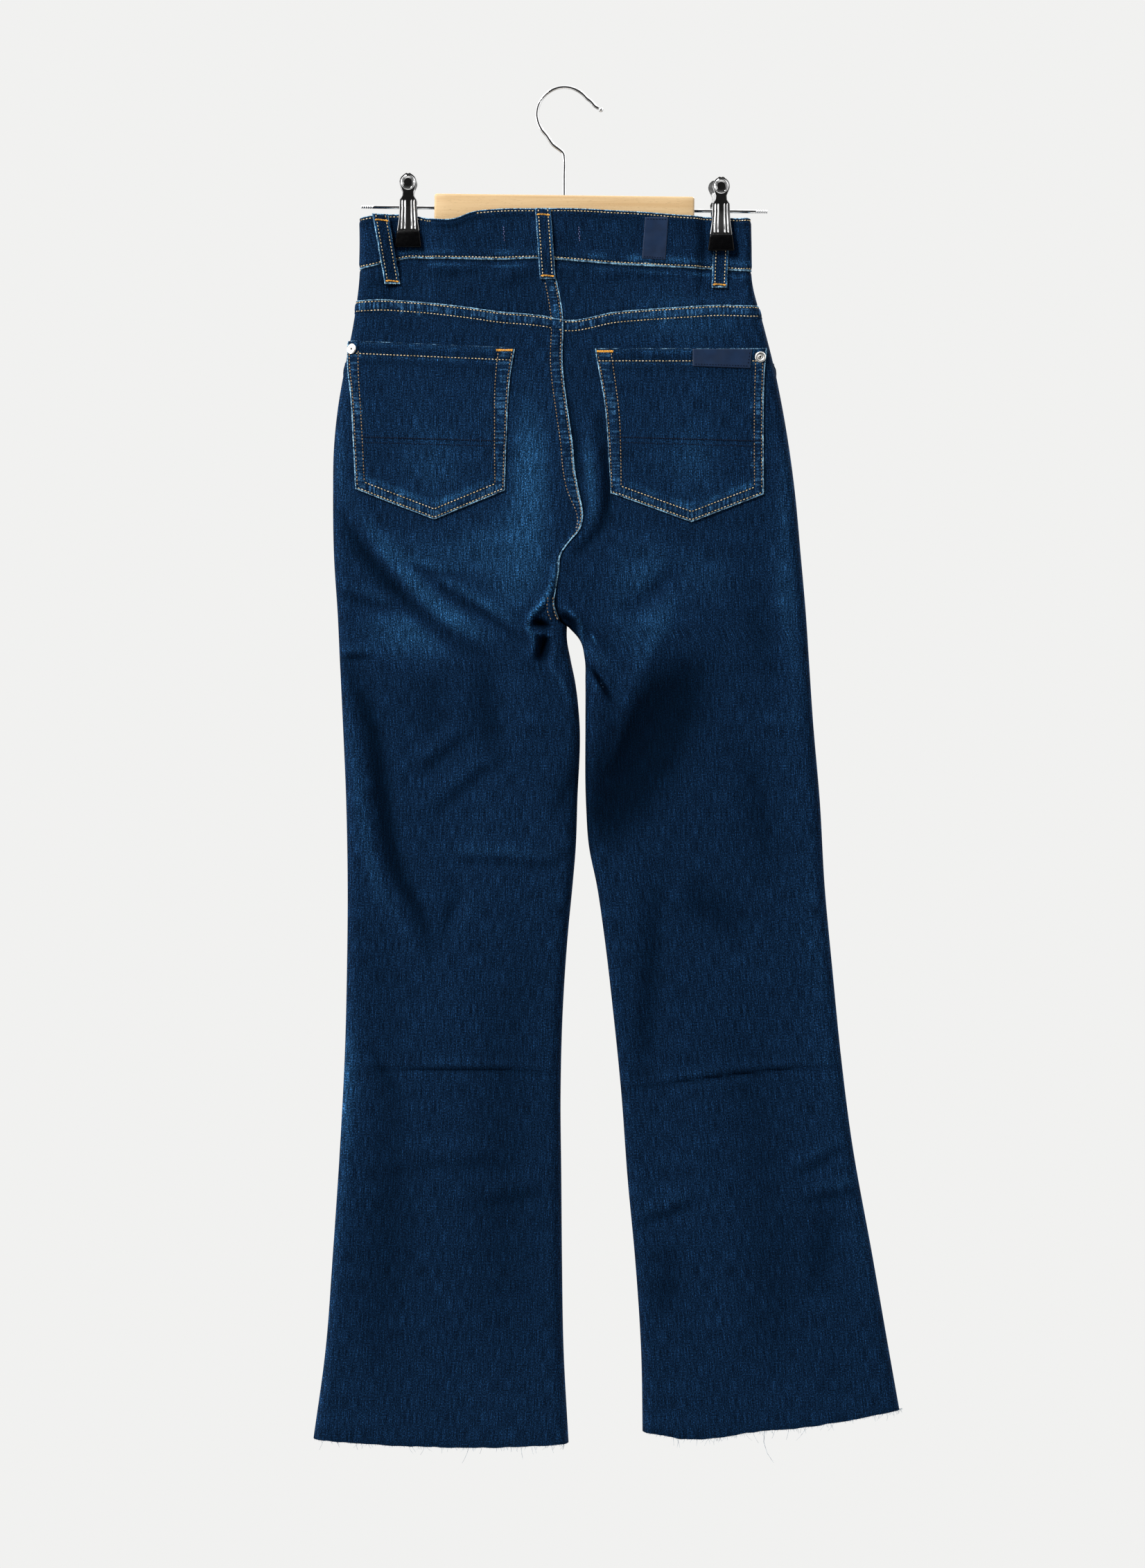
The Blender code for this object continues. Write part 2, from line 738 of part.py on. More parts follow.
def turned_mesh(name, profile, steps):
    """Open profile turned a full circle about Z, base at z = 0."""
    bm = bmesh.new()
    verts = [bm.verts.new(Vector((radius, 0, height)) * MM) for radius, height in profile]
    edges = [bm.edges.new(pair) for pair in zip(verts, verts[1:])]
    bmesh.ops.spin(
        bm, geom=verts + edges, axis=(0, 0, 1), cent=(0, 0, 0), angle=math.tau, steps=steps,
    )
    bmesh.ops.remove_doubles(bm, verts=bm.verts[:], dist=1e-6)
    bmesh.ops.recalc_face_normals(bm, faces=bm.faces[:])
    return mesh_from(bm, name)


def place_on(piece, point, direction):
    """Sets a turned piece at a point, its axis along a direction."""
    piece.location = point * MM
    piece.rotation_mode = "QUATERNION"
    piece.rotation_quaternion = direction.to_track_quat("Z", "Y")


def surface_point(side, x, z, distance):
    """Point and normal of the back layer at x and z, moved out by a distance."""
    step = 2.0
    x_outer = outer_x(side, z)

    def depth(at_x):
        reach = abs(at_x - x_outer)
        full = layer_depth("back", side, at_x, z)
        if reach >= EDGE_RADIUS:
            return full
        return full * math.sqrt(max(0.0, 1 - (1 - reach / EDGE_RADIUS) ** 2))
    slope = (depth(x + step) - depth(x - step)) / (2 * step)
    normal = Vector((-slope, -1.0, 0.0)).normalized()
    return Vector((x, -depth(x), z)) + normal * distance, normal


def make_rivets():
    distance = PANEL_WALL / 2 + POCKET_WALL + 2 * (GAP + LIE_EASE) + LIE_EASE
    for name, corner in RIVETS.items():
        side = name.rsplit("_", 1)[1]
        point, normal = surface_point(side, corner.x, corner.z, distance)
        piece = link_object(name, turned_mesh(name, RIVET_PROFILE, 16), "silver")
        place_on(piece, point, normal)


def make_button():
    centre_x = look_up(CENTRE_SEAM, "z", "front", BUTTON_HEIGHT) + BAND_LAP / 4
    depth = layer_depth("front", "left", centre_x, BUTTON_HEIGHT) + BAND_LIFT + BAND_WALL / 2
    piece = link_object("waist_button", turned_mesh("waist_button", BUTTON_PROFILE, 20), "silver")
    place_on(piece, Vector((centre_x, depth + GAP, BUTTON_HEIGHT)), Vector((0, 1, 0)))


# ---- Hanger --------------------------------------------------------------------------

def hook_route():
    """Centre line of the wire, from the bar up round the hook to its tip."""
    route = [Vector((0, 0, BAR_CENTRE_Z + BAR_SIZE[2] / 2 - STEM_DEPTH + GAP))]
    route += [Vector((x, 0, z)) for x, z in HOOK_STEM]
    centre = Vector((0, 0, HOOK_CENTRE_Z))
    for step in range(HOOK_STEPS + 1):
        share = step / HOOK_STEPS
        angle = math.radians(HOOK_ARC[0] + (HOOK_ARC[1] - HOOK_ARC[0]) * share)
        route.append(centre + Vector((math.cos(angle), 0, math.sin(angle))) * HOOK_RADIUS)
    route += [Vector((x, 0, z)) for x, z in HOOK_TIP]
    return route


def make_hook():
    curve = bpy.data.curves.new("hanger_hook", "CURVE")
    curve.dimensions = "3D"
    curve.bevel_depth = WIRE / 2 * MM
    curve.bevel_resolution = 2
    curve.use_fill_caps = True
    route = hook_route()
    spline = curve.splines.new("POLY")
    spline.points.add(len(route) - 1)
    for slot, point in zip(spline.points, route):
        slot.co = (*(point * MM), 1.0)
    link_object("hanger_hook", curve, "chrome")
    bm = bmesh.new()
    bmesh.ops.create_uvsphere(bm, u_segments=10, v_segments=6, radius=BALL_RADIUS * MM)
    ball = link_object("hook_ball", mesh_from(bm, "hook_ball"), "chrome")
    tip = (route[-1] - route[-2]).normalized()
    ball.location = (route[-1] + tip * (BALL_RADIUS + GAP)) * MM


def make_tilt():
    tilt = bpy.data.objects.new("hanger_tilt", None)
    PARTS.objects.link(tilt)
    tilt.location = (0, 0, ROD_CENTRE_Z * MM)
    tilt.rotation_euler = (0, HANGER_TILT, 0)
    return tilt


def rod_cylinder(name, diameter, length, sides):
    bm = bmesh.new()
    bmesh.ops.create_cone(
        bm, cap_ends=True, segments=sides, radius1=diameter / 2 * MM, radius2=diameter / 2 * MM,
        depth=length * MM, matrix=Matrix.Rotation(math.radians(90), 4, "Y"),
    )
    return mesh_from(bm, name)


def make_bar(tilt):
    bm = bmesh.new()
    bmesh.ops.create_cube(bm, size=1.0)
    bmesh.ops.scale(bm, vec=Vector(BAR_SIZE) * MM, verts=bm.verts[:])
    bar = link_object("hanger_bar", mesh_from(bm, "hanger_bar"), "beech", tilt)
    bar.location = (0, 0, (BAR_CENTRE_Z - ROD_CENTRE_Z) * MM)
    bevel = bar.modifiers.new("edges", "BEVEL")
    bevel.width = BAR_BEVEL * MM
    bevel.segments = 2
    bore = link_cutter("rod_bore", rod_cylinder("rod_bore", ROD_BORE, BAR_SIZE[0] + 20, 12), tilt)
    add_boolean(bar, "DIFFERENCE", bore)
    socket = link_cutter("stem_socket", rod_cylinder("stem_socket", ROD_BORE, 2 * STEM_DEPTH, 12))
    socket.location = (0, 0, (BAR_CENTRE_Z + BAR_SIZE[2] / 2) * MM)
    socket.rotation_euler = (0, math.radians(90), 0)
    add_boolean(bar, "DIFFERENCE", socket)


def make_rod(tilt):
    """The rod, with a row of small ribs turned into each end."""
    half = ROD_LENGTH / 2
    radius = ROD_DIAMETER / 2
    end = [(0.0, half)]
    for rib in range(ROD_RIBS):
        outer_end = half - rib * ROD_RIB
        end += [(radius, outer_end - 0.1), (radius, outer_end - ROD_RIB * 0.6)]
        end += [(radius - 0.35, outer_end - ROD_RIB * 0.7), (radius - 0.35, outer_end - ROD_RIB)]
    end += [(radius - 0.1, half - ROD_RIBS * ROD_RIB - 0.2)]
    profile = end + [(r, -z) for r, z in reversed(end)]
    rod = link_object("hanger_rod", turned_mesh("hanger_rod", profile, 8), "chrome", tilt)
    rod.rotation_euler = (0, math.radians(90), 0)


def make_plate(name, clip, layer, foot):
    """A pressed plate, round at its thumb end and flared at the pad."""
    rows = []
    for row in PLATE_ROWS:
        toward_foot = ramp(row.z, 0.0, PLATE_ROWS[-1].z)
        out = row.out + toward_foot * (foot - PLATE_ROWS[-1].out)
        rows.append([
            Vector((share * row.half, outward(layer) * (out - 0.4 * abs(share)), row.z))
            for share in (-1.0, -0.6, 0.0, 0.6, 1.0)
        ])
    bm = surface(rows)
    face_out(bm, Vector((0, outward(layer), 0)))
    piece = link_object(name, mesh_from(bm, name), "chrome", clip)
    add_wall(piece, PLATE_WALL)


def make_pad(name, clip, layer, inner):
    """A rubber cap: a block that widens down to its gripping edge."""
    top = PLATE_ROWS[-1].z - GAP
    near, far = sorted((outward(layer) * inner, outward(layer) * (inner + PAD_THICKNESS)))
    bm = bmesh.new()
    bmesh.ops.create_cube(bm, size=1.0)
    for vert in bm.verts:
        width = PAD_TOP_WIDTH if vert.co.z > 0 else PAD_BOTTOM_WIDTH
        height = top if vert.co.z > 0 else top - PAD_HEIGHT
        depth = far if vert.co.y > 0 else near
        vert.co = Vector((math.copysign(width / 2, vert.co.x), depth, height)) * MM
    piece = link_object(name, mesh_from(bm, name), "rubber", clip)
    bevel = piece.modifiers.new("edges", "BEVEL")
    bevel.width = 0.8 * MM
    bevel.segments = 1


def make_spring(name, clip, tilt):
    """The sleeve round the rod that carries both plates."""
    sleeve = link_object(name, rod_cylinder(name, SPRING_DIAMETER, SPRING_LENGTH, 16), "chrome",
                         tilt)
    sleeve.location = (clip, 0, 0)
    bore = link_cutter(name + "_bore", rod_cylinder(name + "_bore", ROD_BORE + 0.2, 40, 12), tilt)
    bore.location = sleeve.location
    add_boolean(sleeve, "DIFFERENCE", bore)


def make_clip(side, tilt):
    """Each clip hangs on the rod and grips the band, on the right over the belt loop too."""
    x = CLIP_X[side]
    clip = bpy.data.objects.new("clip_" + side, None)
    PARTS.objects.link(clip)
    clip.location = Vector((x, 0, ROD_CENTRE_Z - x * math.sin(HANGER_TILT))) * MM
    cloth_face = PINCH_DEPTH + BAND_WALL / 2 + GAP + LIE_EASE
    under_back = cloth_face + (LOOP_WALL + GAP + LIE_EASE if side == "right" else 0.0)
    for layer, inner in (("back", under_back), ("front", cloth_face)):
        name = "clip_" + side + "_" + layer
        make_plate(name + "_plate", clip, layer, inner + PAD_THICKNESS / 2)
        make_pad(name + "_pad", clip, layer, inner)
    make_spring("clip_" + side + "_spring", x * MM, tilt)


# ---- Build ---------------------------------------------------------------------------

def make_garment():
    for side in ("left", "right"):
        make_leg(side, "back")
        make_front_pocket(side, make_leg(side, "front"))
        make_yoke(side)
        make_waistband(side)
        make_back_pocket(side)
    for name, loop in BELT_LOOPS.items():
        make_belt_loop(name, loop)
    make_waist_patch()
    make_pocket_tab()
    make_rivets()
    make_button()


def make_hanger():
    tilt = make_tilt()
    make_hook()
    make_bar(tilt)
    make_rod(tilt)
    for side in ("left", "right"):
        make_clip(side, tilt)


clear_scene()
PARTS = new_collection("jeans_on_hanger")
CUTTERS = new_collection("cutters")
MATERIALS = make_materials()
make_garment()
make_hanger()
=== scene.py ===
"""Blue jeans hung by the waistband from a clip hanger, seen from behind.

Lengths are in millimetres until a mesh is made. The frame is the part's own: +Z up, the back
of the jeans towards -Y, the wearer's left at -X, the origin at the hook's inner top.
"""
import json
import math
from collections import namedtuple

import bmesh
import bpy
import numpy as np
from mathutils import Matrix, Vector

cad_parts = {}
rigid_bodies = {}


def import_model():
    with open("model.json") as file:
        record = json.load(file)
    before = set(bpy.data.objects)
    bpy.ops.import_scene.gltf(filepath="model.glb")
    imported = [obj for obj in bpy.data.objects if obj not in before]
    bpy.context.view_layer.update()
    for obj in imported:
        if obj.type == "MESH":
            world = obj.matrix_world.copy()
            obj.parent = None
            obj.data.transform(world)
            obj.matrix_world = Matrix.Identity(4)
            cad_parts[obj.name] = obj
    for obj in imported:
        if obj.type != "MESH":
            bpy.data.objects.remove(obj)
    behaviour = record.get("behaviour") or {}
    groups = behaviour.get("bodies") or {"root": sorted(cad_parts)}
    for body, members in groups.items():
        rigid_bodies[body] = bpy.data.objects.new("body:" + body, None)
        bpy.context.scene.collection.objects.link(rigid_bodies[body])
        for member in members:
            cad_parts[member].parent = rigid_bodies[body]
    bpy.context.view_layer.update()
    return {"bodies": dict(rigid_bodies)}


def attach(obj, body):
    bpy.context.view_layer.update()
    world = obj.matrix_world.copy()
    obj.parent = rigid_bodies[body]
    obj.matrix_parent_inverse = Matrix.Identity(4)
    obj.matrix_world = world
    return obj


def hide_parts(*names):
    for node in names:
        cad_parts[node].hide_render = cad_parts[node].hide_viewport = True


bl_info = {
    "name": "Jeans on a clip hanger",
    "version": (1, 0, 0),
    "blender": (4, 5, 0),
    "location": "3D View > Sidebar > Jeans",
    "description": "Builds stretch denim jeans and the wooden clip hanger that holds them",
    "category": "Add Mesh",
}

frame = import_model()
BODY = next(iter(frame["bodies"]))

MM = 0.001
SIDES = ("left", "right")
LAYERS = ("back", "front")

# Cloth: wall thicknesses, the gap kept at every seam and the width of a rounded edge.
PANEL_WALL = 1.2
BAND_WALL = 2.4
POCKET_WALL = 1.2
LOOP_WALL = 1.6
TRIM_WALL = 0.8
GAP = 0.3
LIE_EASE = 0.15
EDGE_RADIUS = 9.0
BAND_EDGE_RADIUS = 6.0

YOKE_LEVEL = -190.0
FRONT_LEVEL = -165.0
LEVEL_FROM = -300.0
CROTCH = -462.5
CLOSING_FROM = -444.0
HEM_LEVEL = -1160.0
HEM_FROM = -1020.0

# The clips press both layers together here.
CLIP_X = {"left": -134.0, "right": 134.5}
PINCH_DEPTH = 1.6
PINCH_FLAT = 14.0
PINCH_END = 23.5
PINCH_BOTTOM = -141.0
PINCH_FADE = -205.0

FLY_LAP = 6.0
FLY_BOTTOM = -318.0
FLY_LIFT = PANEL_WALL + GAP + 0.1
BAND_LAP = 24.0
BAND_LIFT = BAND_WALL + GAP + 0.1
BAND_LEVEL = -130.0
SCOOP_ACROSS = 74.0
SCOOP_DOWN = 80.0
SCOOP_LEVEL = -180.0

# A lapped seam: how far its doubled edge stands up, and its stitch rows from the edge.
LAP_RISE = 0.8
LAP_ROWS = (1.9, 9.4)
CENTRE_ROWS = (2.0, 10.4)
GROOVE_HALF = 0.75
GROOVE_DEPTH = 0.35
# The distance that stands for "no worn edge near".
NO_RIM = 60.0

# Heights, then the left and the right silhouette.
OUTLINE = (
    (-104, -175.5, 159.6), (-132, -175.0, 160.1), (-168, -176.5, 161.6),
    (-204, -181.5, 171.2), (-240, -188.6, 180.3), (-275, -194.6, 187.4),
    (-311, -198.1, 193.4), (-347, -198.7, 198.1), (-400, -198.0, 203.0),
    (-454, -194.6, 207.7), (-489, -193.0, 210.0), (-543, -190.4, 213.6),
    (-614, -187.4, 219.6), (-686, -186.2, 223.7), (-757, -186.8, 230.3),
    (-829, -188.6, 237.4), (-900, -192.2, 246.3), (-1007, -199.3, 265.4),
    (-1079, -204.7, 277.9), (-1170, -217.0, 294.0),
)
INSEAM = (
    (-462.5, 2.9, 2.9), (-472, 2.4, 11.9), (-490, 5.4, 17.3), (-510, 9.5, 17.9),
    (-543, 13.1, 17.9), (-614, 11.3, 18.4), (-650, 10.1, 20.8), (-686, 7.1, 28.0),
    (-722, 3.6, 33.3), (-793, -1.2, 41.7), (-864, -3.0, 48.8), (-936, -2.4, 54.1),
    (-1007, -1.8, 60.7), (-1079, -0.6, 65.5), (-1170, 4.2, 67.2),
)
# Heights, then where the halves meet on the back and on the front.
CENTRE_SEAM = (
    (-104, -16.0, -8.0), (-150, -10.0, -8.0), (-166, -6.4, -7.5), (-196, -1.2, -7.0),
    (-238, -1.4, -6.0), (-280, 3.6, -5.0), (-305, 7.2, -4.5), (-330, 9.5, -4.0),
    (-350, 13.3, -3.5), (-368, 16.2, -3.0), (-380, 13.3, -2.5), (-389, 5.4, -2.0),
    (-400, -2.4, -1.5), (-415, -5.0, -1.0), (-430, -7.0, -0.5), (-445, -7.4, 0.5),
    (-455, -4.6, 1.5), (-459.5, -1.4, 2.3), (-462.5, 2.9, 2.9),
)
# Heights, then the distance of the back and of the front from the middle plane.
DEPTHS = (
    (-104, 9.2, 9.2), (-150, 9.2, 9.2), (-200, 10.5, 10.0), (-300, 13.0, 12.0),
    (-400, 13.0, 12.0), (-462, 12.0, 12.0), (-620, 12.0, 12.0), (-850, 11.5, 11.5),
    (-1000, 12.5, 12.5), (-1170, 15.0, 15.0),
)
# Across the back: x, then the heights of the band's top, the waist seam and the yoke seam.
BACK_LINES = (
    (-200, -111.6, -156.1, -182.7), (-176, -111.6, -156.1, -182.7),
    (-158, -108.8, -152.3, -181.9), (-134, -108.6, -146.6, -183.2),
    (-112, -112.4, -147.3, -185.0), (-95, -112.3, -147.6, -187.0),
    (-79, -106.6, -148.0, -189.0), (-60, -104.4, -148.3, -191.8),
    (-16, -103.8, -147.5, -196.2), (0, -103.6, -148.6, -199.4),
    (45, -105.6, -152.4, -192.4), (74, -107.2, -154.0, -190.0),
    (97, -109.2, -155.0, -188.5), (134, -111.0, -156.4, -186.6),
    (162, -111.8, -158.0, -187.2), (200, -111.8, -158.0, -187.2),
)
FRONT_LINES = (
    (-200, -111.6, -156.1), (-176, -111.6, -156.1), (-134, -114.5, -158.5),
    (-90, -122.0, -166.0), (-45, -128.5, -172.5), (-8, -131.0, -175.0),
    (30, -129.5, -173.5), (75, -123.5, -167.5), (134, -114.5, -159.5),
    (162, -111.8, -158.0), (200, -111.8, -158.0),
)
HEMS = {
    "left": ((-217, -1159.3), (-154, -1163.8), (-40, -1165.4), (4, -1163.0)),
    "right": (
        (67, -1153.0), (110, -1159.0), (163, -1152.6), (210, -1148.0), (258, -1140.0),
        (290, -1134.0),
    ),
}

# Creases of each layer: the path, its half width, how far it sinks, and how high the cloth
# beside it stands. A negative last number puts that ridge on the right of the path.
CREASES = {
    "back": (
        (((-201, -348), (-186, -376), (-173, -396), (-150, -424), (-122, -453), (-88, -478),
          (-56, -494)), 8, 5.6, 3.4),
        (((-126, -412), (-108, -428), (-59, -459), (-30, -480)), 4.5, 3.2, 2.2),
        (((-152, -404), (-116, -416), (-82, -421)), 3.5, 1.6, 1.0),
        (((-186, -488), (-179, -510), (-167, -544), (-156, -612), (-145, -669), (-125, -709),
          (-108, -756)), 9, 6.0, -2.6),
        (((29, -272), (33, -292), (36, -321), (37.5, -357), (31, -380), (18, -395), (2, -408)),
         5.6, 3.6, -1.6),
        (((112, -480), (94, -520), (70, -562), (46, -606), (20, -656)), 29, 8.2, 0.0),
        (((94, -432), (82, -464), (64, -504), (45, -540)), 9, -1.8, 0.0),
        (((46, -454), (74, -436), (102, -410)), 10, 2.8, 0.0),
        (((-30, -457), (-21, -460), (-11, -464)), 3.4, 7.5, 0.0),
        (((-17, -467), (-18, -480), (-21, -494)), 4.4, 9.0, 0.0),
        (((-6, -404), (-13, -432), (-20, -444), (-28, -453), (-30.5, -463), (-27, -471),
          (-26.5, -480), (-30, -492)), 2.0, -4.2, 0.0),
        (((-27, -468), (-18, -469.5), (-8, -471)), 1.7, -3.6, 0.0),
        (((-9, -468), (-8, -484), (-10, -498), (-2, -510), (8, -536)), 2.6, -2.4, 0.0),
        (((-5, -444), (5, -450), (12, -457), (15, -466), (16, -482)), 2.0, -3.4, 0.0),
        (((-3, -452), (5, -458), (11, -470)), 3.2, 7.0, 0.0),
        (((12, -462), (28, -474), (54, -494)), 6, 2.2, -1.6),
        (((22, -496), (30, -509), (41, -529)), 2.6, 6.0, -2.2),
        (((52, -500), (56, -522), (49, -552), (36, -590)), 6, -2.0, 0.0),
        (((-78, -450), (-60, -464), (-44, -476), (-28, -485)), 2.0, -1.1, 0.0),
        (((-70, -492), (-64, -528), (-56, -580)), 13, 3.0, 1.2),
        (((-104, -500), (-112, -530), (-108, -566)), 12, 2.0, 0.0),
        (((-126, -593), (-100, -570), (-76, -552)), 6, 2.0, 1.4),
        (((-120, -632), (-84, -600), (-40, -570)), 6, 2.0, 1.4),
        (((-112, -664), (-60, -665), (-4, -664), (16, -640)), 5, 2.2, 1.4),
        (((18, -576), (4, -600), (-8, -628)), 8, 2.4, 0.0),
        (((-86, -682), (-95, -706), (-104, -736)), 6, 2.4, 1.0),
        (((-206, -430), (-176, -441), (-140, -452)), 5, 2.4, 1.4),
        (((-202, -490), (-184, -490), (-160, -491)), 4, 2.6, 1.4),
        (((150, -400), (168, -450), (188, -540)), 16, 2.2, 0.0),
        (((100, -686), (131, -708), (162, -730)), 15, 2.6, 0.0),
        (((82, -660), (76, -740), (68, -870)), 11, 2.8, 0.0),
        (((160, -560), (168, -610), (178, -690)), 14, 2.2, 0.0),
        (((-172, -820), (-158, -838), (-138, -872)), 5, 2.0, 1.0),
        (((-176, -841), (-120, -842.5), (-50, -843), (4, -846)), 2.6, 2.3, 1.3),
        (((46, -861), (70, -857), (120, -850), (190, -842), (250, -840)), 2.6, 2.6, 1.4),
        (((-150, -928), (-100, -925), (-40, -922)), 7, 1.2, 0.6),
        (((-92, -963), (-50, -954), (0, -944)), 7, 1.5, 0.8),
        (((58, -978), (90, -966), (122, -954)), 5, 2.4, 1.3),
        (((196, -936), (219, -923), (244, -908)), 5, 2.2, 1.2),
        (((200, -956), (230, -951), (264, -945)), 5, 2.2, 1.2),
        (((226, -950), (223, -992), (219, -1040)), 12, 2.4, 0.0),
        (((96, -990), (90, -1022), (88, -1060)), 12, 2.0, 0.0),
        (((-150, -700), (-156, -800), (-150, -980), (-160, -1140)), 22, 2.2, 0.0),
        (((-40, -720), (-52, -880), (-44, -1100)), 26, 1.8, 0.0),
        (((150, -760), (168, -900), (186, -1120)), 26, 2.0, 0.0),
        (((-128, -158), (-96, -161), (-62, -158)), 4, 1.3, 0.7),
        (((-60, -176), (-38, -168), (-18, -160)), 6, 1.2, 0.6),
        (((24, -170), (60, -163), (110, -166)), 5, 1.3, 0.7),
        (((142, -180), (152, -172), (163, -168)), 4, 1.2, 0.6),
        (((-172, -176), (-160, -170), (-148, -168)), 4, 1.0, 0.5),
    ),
    "front": (
        (((-160, -372), (-130, -398), (-95, -420), (-36, -430)), 13, 4.0, 1.6),
        (((-156, -540), (-150, -580), (-135, -660), (-96, -750)), 15, 4.0, 1.6),
        (((166, -384), (140, -402), (100, -425), (36, -442)), 13, 4.0, -1.6),
        (((156, -500), (140, -540), (110, -600), (66, -690)), 22, 4.6, 1.4),
        (((-120, -344), (-70, -372), (-14, -380)), 8, 2.0, 1.0),
        (((126, -340), (70, -366), (6, -376)), 8, 2.0, -1.0),
        (((-8, -470), (2, -452), (10, -436)), 5, 3.0, 1.0),
        (((-46, -500), (-18, -476), (0, -458)), 5, 4.0, 1.4),
        (((54, -506), (26, -482), (6, -460)), 5, 4.0, -1.4),
        (((-164, -846), (-90, -843), (-4, -845)), 3.5, 1.1, 0.6),
        (((52, -860), (140, -848), (240, -840)), 3.5, 1.2, 0.7),
        (((-150, -800), (-110, -824), (-50, -832)), 7, 1.8, 1.0),
        (((90, -812), (140, -828), (200, -818)), 7, 1.8, 1.0),
        (((-160, -940), (-110, -928), (-50, -934)), 6, 1.5, 0.8),
        (((96, -956), (150, -942), (220, -930)), 6, 1.5, 0.8),
        (((-110, -700), (-118, -880), (-108, -1110)), 24, 1.6, 0.0),
        (((120, -720), (150, -900), (166, -1110)), 26, 1.6, 0.0),
    ),
}

# Where wear has faded the indigo, where negative strengths paint shade into fold hollows, and where
# a few narrow spots paint highlights on ridges: x, z, half width, half height, lean and strength.
FADE_AND_SHADE_SPOTS = {
    "back": (
        (-30, -332, 20, 66, 0.0, 0.78), (-52, -388, 34, 30, 0.0, 0.30),
        (-95, -400, 62, 28, 0.1, 0.38), (-128, -466, 46, 26, 0.0, 0.72),
        (-40, -430, 30, 26, 0.2, 0.40), (66, -446, 30, 60, 0.0, 0.46),
        (21, -334, 5.5, 38, -0.09, 0.50), (10.5, -308, 2.6, 34, -0.14, -0.55),
        (120, -420, 52, 26, 0.0, 0.30), (190, -330, 9, 60, 0.0, 0.35),
        (-191, -330, 8, 60, 0.0, 0.35), (-6, -193, 5, 8, 0.0, 0.9),
        (25, -473, 1.8, 5, -0.45, 1.1), (-21, -459.5, 6, 3.6, 0.0, -1.2),
        (-18.5, -481, 4.6, 9.5, 0.15, -1.3), (6, -459, 5, 5, 0.0, -0.9),
        (32, -512, 2.4, 11, -0.6, -1.1), (72, -562, 34, 56, 0.2, -0.22),
        (36, -348, 4.5, 34, 0.0, -0.22), (98, -192, 66, 32, 0.0, 0.46),
        (190, -440, 14, 80, -0.05, 0.36), (190, -520, 30, 110, -0.05, 0.18),
        (216, -700, 24, 90, -0.06, 0.22), (236, -850, 26, 90, -0.1, 0.20),
        (262, -1000, 18, 70, -0.16, 0.22), (-190, -850, 7, 62, 0.0, 0.50),
        (-180, -850, 20, 76, 0.0, 0.42), (-201, -1010, 10, 74, 0.1, 0.42),
        (-211, -1110, 6, 50, 0.12, 0.45), (-60, -640, 70, 60, 0.0, 0.14),
        (-100, -820, 60, 120, 0.0, 0.08), (150, -880, 60, 160, 0.1, 0.10),
    ),
    "front": (
        (-95, -560, 46, 130, 0.0, 0.65), (118, -560, 48, 130, 0.1, 0.65),
        (-60, -300, 40, 50, 0.0, 0.30), (60, -300, 40, 50, 0.0, 0.30),
        (-100, -860, 40, 60, 0.0, 0.18), (146, -860, 42, 60, 0.0, 0.18),
    ),
}

# Pocket outlines: the sides as (z, x), nearest the centre seam and farthest from it, then the
# bottom corners and the tip.
Pocket = namedtuple("Pocket", "near far top bottom")
POCKETS = {
    "left": Pocket(
        near=((-223.7, -42.4), (-241.2, -45.4), (-298.9, -49.2), (-345.9, -50.8)),
        far=((-217.6, -184.0), (-232.0, -184.6), (-283.6, -182.0), (-345.2, -179.0)),
        top=((-184.0, -217.6), (-42.4, -223.7)),
        bottom=((-179.0, -345.2), (-111.4, -371.0), (-50.8, -345.9)),
    ),
    "right": Pocket(
        near=((-224.3, 26.1), (-281.7, 35.7), (-348.6, 40.5)),
        far=((-224.3, 172.3), (-268.0, 170.9), (-349.3, 170.9)),
        top=((26.1, -224.3), (172.3, -224.3)),
        bottom=((40.5, -348.6), (108.8, -373.2), (170.9, -349.3)),
    ),
}
POCKET_OUTER_ROW = 1.9
POCKET_FAR_ROW = 8.0
POCKET_NEAR_ROW = (13.6, 8.6)
POCKET_BOTTOM_ROW = 8.4
POCKET_TOP_ROW = 10.8
# Distance across the slanting bottom edge for each millimetre of height.
POCKET_SLOPE = 0.93
POCKET_REST = (PANEL_WALL + POCKET_WALL) / 2 + GAP + LIE_EASE

WAIST_PATCH = ((69.2, -111.6), (89.2, -111.6), (86.6, -148.3), (66.6, -147.1))
POCKET_TAB = ((110.0, -225.0), (160.9, -225.0), (159.2, -241.4), (110.0, -239.6))
PATCH_REST = (BAND_WALL + TRIM_WALL) / 2 + GAP
TAB_REST = PANEL_WALL / 2 + POCKET_WALL + TRIM_WALL / 2 + 2 * (GAP + LIE_EASE)

Loop = namedtuple("Loop", "layer side x_top x_bottom length slack")
BELT_LOOPS = {
    "belt_loop_centre_back": Loop("back", "left", -18.4, -14.2, 61.0, 2.2),
    "belt_loop_back_left": Loop("back", "left", -158.0, -147.4, 60.0, 2.2),
    "belt_loop_back_right": Loop("back", "right", 135.5, 133.0, 61.0, 0.0),
    "belt_loop_front_left": Loop("front", "left", -92.0, -92.0, 58.0, 2.2),
    "belt_loop_front_right": Loop("front", "right", 80.0, 80.0, 58.0, 2.2),
}
LOOP_WIDTH = 13.3
LOOP_STANDOFF = ((0.0, 0.0), (0.1, 0.0), (0.22, 0.7), (0.5, 1.0), (0.76, 0.7), (0.88, 0.0), (1, 0))
LOOP_ROW = 4.0

RIVETS = {"left": (-180.5, -225.0), "right": (168.0, -231.8)}
BUTTON_HEIGHT = -153.0

